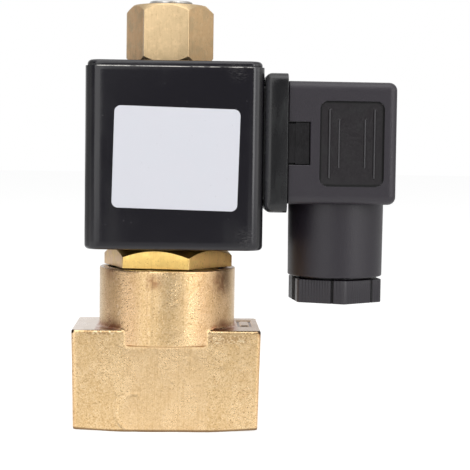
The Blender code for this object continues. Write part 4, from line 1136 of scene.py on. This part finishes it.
def coil_hollows(high):
    """Cutters for the spool, the magnet frame and the terminal base's tenon."""
    room = Vector((CLEARANCE, CLEARANCE, CLEARANCE))
    low_end, high_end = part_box("bobbin")[0] - room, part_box("bobbin")[1] + room
    spool = spun("spool", stepped(high_end.z, (high_end.x, low_end.z)), turns(64))
    yoke_low, yoke_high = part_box("yoke")[0] - room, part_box("yoke")[1] + room
    thick = YOKE_THICKNESS + 2 * CLEARANCE
    side_high = (yoke_low.x + thick, yoke_high.y - CLEARANCE / 2, yoke_high.z - CLEARANCE / 2)
    slots = [block_mesh("slot_low", yoke_low, (yoke_high.x, yoke_high.y, yoke_low.z + thick)),
             block_mesh("slot_high", (yoke_low.x, yoke_low.y, yoke_high.z - thick), yoke_high),
             block_mesh("slot_side", yoke_low + room / 2, side_high)]
    base_low, base_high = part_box("terminal_base")
    half = TENON_HALF + CLEARANCE
    middle = (base_low.z + base_high.z) / 2
    mortise = block_mesh("mortise", (base_low.x - CLEARANCE, -half, middle - half),
                         (high.x + MM, half, middle + half))
    return [spool, *slots, mortise]


def make_label(finish):
    low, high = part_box("label")
    centre = (low + high) / 2
    thick = high.y - low.y
    u, v = LABEL_SIZE[0] / 2, LABEL_SIZE[1] / 2
    rings = []
    for y, inset in ((high.y, 0), (low.y + thick / 3, 0), (low.y, thick / 3)):
        ring = rectangle((-u, -v), (u, v), LABEL_CORNER - inset, LABEL_POINTS, inset)
        rings.append([(p.x, y, p.y) for p in ring])
    mesh = lofted("label_sheet", rings)
    turn = Matrix.Rotation(math.radians(LABEL_TURN), 4, "Y")
    mesh.transform(Matrix.Translation((centre.x + LABEL_SHIFT, 0, centre.z)) @ turn)
    dress("label_sheet", mesh, "coil", "label_face", finish, "label")


def make_terminal_base(finish):
    low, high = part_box("terminal_base")
    back = high.x - BASE_THICKNESS
    middle = (low.z + high.z) / 2
    half = TENON_HALF
    tenon = rectangle((-half, middle - half), (half, middle + half), TENON_CORNER, BASE_POINTS)
    rings = [[(x, u, v) for u, v in tenon] for x in (low.x, back)]
    for x, inset in rim(back, BASE_REAR_RIM, 5, 1) + rim(high.x, BASE_FRONT_RIM, 5, -1)[::2]:
        ring = rectangle((low.y, low.z), (high.y, high.z), BASE_CORNER - inset, BASE_POINTS, inset)
        rings.append([(x, u, v) for u, v in ring])
    mesh = lofted("terminal_flange", rings)
    room = Vector((MM, CLEARANCE, CLEARANCE))
    cutters = []
    for name in ("line_blade", "neutral_blade", "earth_blade", "screw_insert"):
        cut_low, cut_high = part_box(name)
        cutters.append(block_mesh(name + "_room", cut_low - room, cut_high + room))
    dress("terminal_flange", carved(mesh, cutters), "coil", "coil_moulding", finish, "terminal_base")


def panel_depth(x, z, centre):
    """How deep the moulded side panel lies at a place on the plug's side, ribs included."""
    u = abs(x - centre[0]) - PANEL_SIZE[0] / 2 + PANEL_CORNER
    v = abs(z - centre[1]) - PANEL_SIZE[1] / 2 + PANEL_CORNER
    outside = math.hypot(max(u, 0), max(v, 0)) + min(max(u, v), 0) - PANEL_CORNER
    depth = PANEL_CUT * (1 - ease(outside, -PANEL_SLOPE, 0))
    for offset, height in RIBS:
        across = abs(abs(x - centre[0]) - offset)
        beyond = max(0.0, abs(z - centre[1]) - height / 2 + RIB_HALF)
        depth -= RIB_RISE * (1 - ease(math.hypot(across, beyond), *RIB_SPREAD))
    return depth


def plug_places(low, high, panel_x):
    """Places along X for the plug's rings: even, with more of them at the ribs and the panel's ends."""
    places = list(np.linspace(low.x + PLUG_BACK_RIM, high.x - PLUG_RIM, PLUG_LEVELS))
    for side in (-1, 1):
        for offset, _ in RIBS:
            places += [panel_x + side * offset + k * RIB_HALF / 2 for k in range(-3, 4)]
        edge = panel_x + side * PANEL_SIZE[0] / 2
        places += [edge - side * PANEL_SLOPE * k / 4 for k in range(5)]
    places = sorted(places)
    return [p for i, p in enumerate(places) if i == 0 or p - places[i - 1] > 0.01 * MM]


def plug_skin(low, high, bottom, centre):
    """Rings of the plug's outside, from its open back to its end, with the sunk panels in its sides."""
    levels = rim(low.x, PLUG_BACK_RIM, 5, 1)[1:4:2]
    levels += [(x, 0) for x in plug_places(low, high, centre[0])]
    levels += rim(high.x, PLUG_RIM, 5, -1)[1:]
    levels += [(high.x, PLUG_RIM + inset) for inset in END_INSETS]
    rings = []
    for x, inset in levels:
        top = high.z + PLUG_RISE + PLUG_DRAFT * (high.x - x) / (high.x - low.x)
        corner = PLUG_CORNER - inset if inset <= PLUG_RIM else PLUG_CORNER
        ring = []
        for u, v in rectangle((low.y, bottom), (high.y, top), corner, PLUG_POINTS, inset):
            on_side = abs(abs(u) - high.y) < SIDE_SLACK and abs(v - centre[1]) < PANEL_SIZE[1] / 2 + MM
            sink = panel_depth(x, v, centre) if on_side else 0.0
            ring.append(Vector((x, u - math.copysign(sink, u), v)))
        rings.append(ring)
    return rings


def refinish(mesh, finish, centre, side):
    """Give the faces of the sunk panels another finish."""
    mesh.materials.append(finish.material)
    for face in mesh.polygons:
        x, y, z = face.center
        inside = abs(x - centre[0]) < PANEL_SIZE[0] / 2 and abs(z - centre[1]) < PANEL_SIZE[1] / 2
        sunk = side - 2 * PANEL_CUT < abs(y) < side - PANEL_SKIN
        face.material_index = int(inside and sunk)


def make_plug(finish):
    low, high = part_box("plug_housing")
    bottom = high.z - PLUG_HEIGHT
    middle = (bottom + high.z) / 2
    centre = (low.x + PANEL_PLACE, middle)
    rings = plug_skin(low, high, bottom, centre)
    around = rings[-1]
    recess = high.x - SCREW_RECESS_DEPTH
    wall = high.x - PLUG_END
    hole = [(high.x, SCREW_RECESS_RADIUS + land) for land in (*RECESS_LANDS, 0)]
    hole += [(recess, SCREW_RECESS_RADIUS), (recess, SCREW_HOLE), (wall, SCREW_HOLE)]
    for x, radius in hole:
        rings.append(circle_like([Vector((x, p.y, p.z)) for p in around], (x, 0, middle), radius))
    inner_y = high.y - PLUG_WALL
    inner_z = PLUG_HEIGHT / 2 - PLUG_WALL
    cavity = rectangle((-inner_y, middle - inner_z), (inner_y, middle + inner_z), CAVITY_CORNER, PLUG_POINTS)
    rings += [[(x, u, v) for u, v in cavity] for x in (wall, low.x)]
    shell = carved(lofted("plug_shell", rings, joined=True), [gland_tube(low, bottom)], "UNION")
    shell = carved(shell, [gland_bore(low, bottom), *plug_windows(low, high, middle)])
    shell.materials.clear()
    shell.materials.append(finish.material)
    refinish(shell, panel_plastic(centre), centre, high.y)
    dress("plug_shell", shell, "coil", "plug_moulding", None, "plug_housing")


def gland_axis():
    low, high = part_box("gland_nut")
    return (low.x + high.x) / 2


def gland_tube(low, bottom):
    top = bottom + PLUG_WALL / 2
    shares = [k / GLAND_TUBE_LEVELS for k in range(GLAND_TUBE_LEVELS)]
    wall = [(GLAND_TUBE_RADIUS - GLAND_TUBE_TAPER * s, top + (low.z - top) * s, 0) for s in shares]
    edge = (GLAND_TUBE_RADIUS - GLAND_TUBE_TAPER, low.z, GLAND_TUBE_EDGE)
    section = rounded([(0, top, 0), *wall, edge, (0, low.z, 0)])
    return spun("gland_tube", section, turns(128), (gland_axis(), 0, 0))


def gland_bore(low, bottom):
    section = stepped(bottom + PLUG_WALL + MM, (CABLE_HOLE_RADIUS, low.z + GLAND_BORE_DEPTH),
                      (GLAND_BORE_RADIUS, low.z - MM))
    return spun("gland_bore", section, turns(72), (gland_axis(), 0, 0))


def plug_windows(low, high, middle):
    """Latch windows on the two sides, with slightly broken outer edges."""
    back = low.x - MM
    depths = ((high.y - PLUG_WALL - WINDOW_OVERCUT, 0), (high.y - WINDOW_EDGE, 0), (high.y, WINDOW_EDGE),
              (high.y + MM, MM))
    cutters = []
    for side in (-1, 1):
        rings = []
        for y, flare in depths:
            end = low.x + WINDOW_DEPTH + flare
            half = WINDOW_HEIGHT / 2 + flare
            corners = ((back, -half), (end, -half), (end, half), (back, half))
            rings.append([(x, side * y, middle + z) for x, z in corners])
        cutters.append(lofted("window_%d" % side, rings))
    return cutters


def gland_nut_radius(angle):
    """Outline of the gland nut: six ribbed saw teeth for the fingers, each a long flat and a short flank."""
    sector = (math.degrees(angle) - GLAND_NUT_TURN + GLAND_NUT_FLANK) % 60
    if sector < GLAND_NUT_FLANK:
        first, last, span, off = GLAND_NUT_VALLEY, GLAND_NUT_PEAK, GLAND_NUT_FLANK, sector
    else:
        first, last = GLAND_NUT_PEAK, GLAND_NUT_VALLEY
        span, off = 60 - GLAND_NUT_FLANK, sector - GLAND_NUT_FLANK
    span, off = math.radians(span), math.radians(off)
    side = first * last * math.sin(span) / (first * math.sin(off) + last * math.sin(span - off))
    rib = 0.5 + 0.5 * math.cos(GLAND_NUT_RIBS * angle)
    crease = 1 - ease(min(sector, 60 - sector), *CREASE_SPREAD)
    return min(side, GLAND_NUT_PEAK - GLAND_NUT_BLUNT) - GLAND_NUT_RIB * rib - GLAND_NUT_CREASE * crease


def make_gland_nut(finish):
    low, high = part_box("gland_nut")
    top = low.z + GLAND_NUT_HEIGHT
    hole = CABLE_HOLE_RADIUS
    spigot = GLAND_BORE_RADIUS - CLEARANCE
    edge = GLAND_NUT_EDGE

    def section(angle):
        side = gland_nut_radius(angle)
        return rounded([(hole, high.z, 0), (spigot, high.z, edge), (spigot, top, edge / 2),
                        (side, top, edge), (side, low.z, edge), (hole + MM, low.z, edge),
                        (hole, low.z + MM, edge), (hole, high.z - edge / 2, 0)], 3)
    mesh = spun("gland_nut_grip", section, turns(GLAND_NUT_RIBS * 8), (gland_axis(), 0, 0))
    dress("gland_nut_grip", mesh, "coil", "plug_moulding", finish, "gland_nut")


def make_plug_screw(finish):
    low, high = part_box("plug_screw")
    middle = (low.z + high.z) / 2
    radius = (high.z - low.z) / 2
    back = high.x - SCREW_HEAD
    head = rounded([(0, high.x, 0), (radius, high.x - SCREW_DOME, SCREW_ROUND),
                    (radius, back, LEAST_EDGE), (SCREW_ROOT, back, 0)])

    def section(angle):
        cut = thread(back - low.x - 2 * MM, SCREW_PITCH, SCREW_ROOT, SCREW_SHANK, angle, 6)
        return head + [(r, back - MM - h) for r, h in cut] + [(SCREW_TIP, low.x), (0, low.x)]
    mesh = spun("plug_screw_head", section, turns(48), (0, 0, middle), along_x=True)
    slot = block_mesh("screw_slot", (high.x - SCREW_HEAD / 2, -SCREW_SLOT_HALF, middle - 2 * radius),
                      (high.x + MM, SCREW_SLOT_HALF, middle + 2 * radius))
    dress("plug_screw_head", carved(mesh, [slot]), "coil", "zinc_steel", finish, "plug_screw")


def make_spring(finish):
    """A finely drawn return spring, which the armature shortens as it lifts."""
    low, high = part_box("return_spring")
    wire = SPRING_WIRE
    count = SPRING_TURNS * SPRING_STEPS
    rings = []
    for i in range(count + 1):
        angle = FULL_TURN * SPRING_TURNS * i / count
        out = Vector((math.cos(angle), math.sin(angle), 0))
        height = low.z + wire + (high.z - low.z - 2 * wire) * i / count
        middle = out * (high.x - wire) + Vector((0, 0, height))
        rings.append([middle + out * wire * math.cos(a) + Vector((0, 0, wire * math.sin(a)))
                      for a in turns(12)])
    mesh = lofted("spring_wire", rings)
    spring = dress("spring_wire", mesh, "valve", "stainless", finish, "return_spring")
    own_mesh(spring)


def paint(finish, *names):
    """Give CAD nodes that stay as they are a procedural finish."""
    for name in names:
        slots = nodes[name].data.materials
        slots.clear()
        slots.append(finish.material)


def make_camera():
    yaw, pitch, roll = (math.radians(a) for a in (CAMERA_YAW, CAMERA_PITCH, CAMERA_ROLL))
    ahead = Vector((math.sin(yaw) * math.cos(pitch), math.cos(yaw) * math.cos(pitch), -math.sin(pitch)))
    right = Vector((math.cos(yaw), -math.sin(yaw), 0))
    up = right.cross(ahead)
    across = right * math.cos(roll) + up * math.sin(roll)
    above = up * math.cos(roll) - right * math.sin(roll)
    data = bpy.data.cameras.new("camera")
    data.lens = CAMERA_LENS
    data.sensor_width = CAMERA_SENSOR
    data.clip_start = 10 * MM
    camera = linked("camera", data)
    turn = Matrix((across, above, -ahead)).transposed().to_4x4()
    camera.matrix_world = Matrix.Translation(CAMERA_PLACE) @ turn
    bpy.context.scene.camera = camera


def empty_graph(owner):
    """The emptied node tree of a new material or world."""
    owner.use_nodes = True
    owner.node_tree.nodes.clear()
    return Graph(owner.node_tree)


def make_world():
    """White to the camera; in reflections bright behind and above the object, dim at its sides and front."""
    world = bpy.data.worlds.new("studio")
    bpy.context.scene.world = world
    sky = empty_graph(world)
    seen, direct = sky.rays()
    way = sky.axes(sky.add("ShaderNodeTexCoord").outputs["Generated"])
    right = sky.times(sky.soft(way["X"], *WORLD_RIGHT), sky.ramp(way["Z"], *HORIZON))
    sides = sky.math("MAXIMUM", sky.soft(way["Y"], *WORLD_BEHIND), right)
    strength = sky.math("MAXIMUM", sides, sky.soft(way["Z"], *WORLD_ABOVE), seen)
    shown = sky.add("ShaderNodeBackground", {"Color": WHITE, "Strength": strength})
    ambient = sky.add("ShaderNodeBackground", {"Color": WHITE, "Strength": AMBIENT})
    mix = sky.add("ShaderNodeMixShader", {0: direct, 1: ambient.outputs[0], 2: shown.outputs[0]})
    sky.add("ShaderNodeOutputWorld", {"Surface": mix.outputs[0]})


def sheet(name, corners, material):
    """A flat sheet of the studio."""
    mesh = bpy.data.meshes.new(name)
    mesh.from_pydata(corners, [], [(0, 1, 2, 3)])
    mesh.materials.append(material)
    made = linked(name, mesh)
    return made


def make_floor():
    """A white sweep that keeps the object's soft shadow."""
    material = bpy.data.materials.new("floor")
    floor = empty_graph(material)
    seen, direct = floor.rays()
    where = floor.add("ShaderNodeNewGeometry").outputs["Position"]
    axes = floor.axes(where)
    turn = floor.math("ARCTAN2", axes["X"], floor.times(axes["Y"], -1.0))
    bands = floor.add("ShaderNodeValToRGB", {0: floor.ramp(turn, -math.pi, math.pi)})
    stops = bands.color_ramp.elements
    while len(stops) < len(FLOOR_BANDS):
        stops.new(0.5)
    for stop, (angle, level) in zip(stops, FLOOR_BANDS):
        stop.position = angle / 360 + 0.5
        stop.color = (level, level, level, 1)
    apart = floor.add("ShaderNodeVectorMath", {0: where}, operation="LENGTH").outputs["Value"]
    near = floor.ramp(apart, *FLOOR_NEAR, FLOOR_CLOSE, 0.0)
    far = floor.ramp(apart, *FLOOR_FAR, 1.0, FLOOR_FADE)
    shown = floor.math("MAXIMUM", near, seen, bands.outputs[0])
    dimmed = floor.ramp(seen, 0.0, 1.0, FLOOR_GLOW, FLOOR_SEEN)
    strength = floor.times(shown, floor.math("MAXIMUM", far, seen), dimmed)
    glow = floor.add("ShaderNodeEmission", {"Color": WHITE, "Strength": strength})
    plain = floor.add("ShaderNodeBsdfDiffuse", {"Color": FLOOR_GREY})
    shaded = floor.add("ShaderNodeBsdfDiffuse", {"Color": FLOOR_SHADED})
    lit = floor.add("ShaderNodeAddShader", {0: shaded.outputs[0], 1: glow.outputs[0]})
    mix = floor.add("ShaderNodeMixShader", {0: direct, 1: plain.outputs[0], 2: lit.outputs[0]})
    floor.add("ShaderNodeOutputMaterial", {"Surface": mix.outputs[0]})
    half = FLOOR_HALF
    sheet("floor", [(-half, -half, 0), (half, -half, 0), (half, half, 0), (-half, half, 0)], material)


def make_dark_card():
    """A dark card behind the camera, which only reflections see: it keeps the coil's glossy front dark."""
    material = bpy.data.materials.new("dark_card")
    face = empty_graph(material)
    glow = face.add("ShaderNodeEmission", {"Color": WHITE, "Strength": CARD_GLOW})
    face.add("ShaderNodeOutputMaterial", {"Surface": glow.outputs[0]})
    corners = [(-CARD_HALF, 0), (CARD_HALF, 0), (CARD_HALF, CARD_TOP), (-CARD_HALF, CARD_TOP)]
    card = sheet("dark_card", [(x, CARD_PLACE, z) for x, z in corners], material)
    card.visible_camera = False
    card.visible_diffuse = False
    card.visible_transmission = False
    card.visible_shadow = False


def softbox(name, azimuth, elevation, size, radiance):
    """An area light that faces the object: azimuth 0 is at the camera, positive to its right."""
    a, e = math.radians(azimuth), math.radians(elevation)
    out = Vector((math.sin(a) * math.cos(e), -math.cos(a) * math.cos(e), math.sin(e)))
    data = bpy.data.lights.new(name, "AREA")
    data.shape = "RECTANGLE"
    data.size, data.size_y = size
    data.energy = radiance * math.pi * size[0] * size[1]
    light = linked(name, data)
    light.location = Vector(LIGHT_TARGET) + out * LIGHT_DISTANCE
    light.rotation_euler = out.to_track_quat("Z", "Y").to_euler()


def main():
    bpy.context.scene.view_settings.view_transform = "Standard"
    make_camera()
    make_world()
    make_floor()
    make_dark_card()
    for name, settings in LIGHTS.items():
        softbox(name, *settings)

    # Each nut's last two colours are painted light and shade for its left and right faces.
    turned = nut_brass("turned_brass", (0.62, 0.46, 0.265), (0.44, 0.3, 0.16), 0.36,
                       (0.75, 0.485, 0.252), (0.69, 0.474, 0.256))
    yellow = nut_brass("base_nut_brass", (0.77, 0.525, 0.17), (0.5, 0.29, 0.1), 0.28,
                       (0.68, 0.45, 0.26), (0.9, 0.55, 0.21))
    stainless = steel("stainless", (0.66, 0.65, 0.63), 0.28)
    make_body(forged_brass(), machined_brass())
    make_nut("base_nut_hex", "base_nut", yellow, BASE_NUT_FLATS, BASE_NUT_CHAMFER, BASE_NUT_TURN,
             BASE_NUT_BORE, base_nut_foot)
    make_nut("coil_nut_hex", "coil_nut", turned, COIL_NUT_FLATS, COIL_NUT_CHAMFER, COIL_NUT_TURN,
             STUD_RADIUS + CLEARANCE, coil_nut_foot)
    make_stud(stainless)
    make_coil(coil_plastic())
    make_label(label_paper())
    make_terminal_base(base_plastic())
    make_plug(plug_plastic())
    make_gland_nut(grip_plastic(gland_axis()))
    make_plug_screw(steel("zinc_steel", (0.6, 0.61, 0.62), 0.32))
    make_spring(stainless)

    paint(stainless, "guide_tube", "armature", "yoke", "gland_washer")
    paint(copper_wire(), "winding", "shading_ring")
    paint(soft_black("black_rubber", (0.012, 0.012, 0.012), 0.75), "base_o_ring", "armature_seal", "gasket",
          "screw_seal", "gland_grommet")
    paint(soft_black("block_plastic", (0.005, 0.0044, 0.0052), 0.4, 0.3), "terminal_block")
    paint(soft_black("bobbin_plastic", (0.3, 0.28, 0.22), 0.5), "bobbin")
    paint(steel("tinned", (0.7, 0.7, 0.68), 0.3), "line_blade", "neutral_blade", "earth_blade",
          "line_clamp_screw", "neutral_clamp_screw", "earth_clamp_screw")
    paint(turned, "screw_insert", "line_socket", "neutral_socket", "earth_socket")


main()
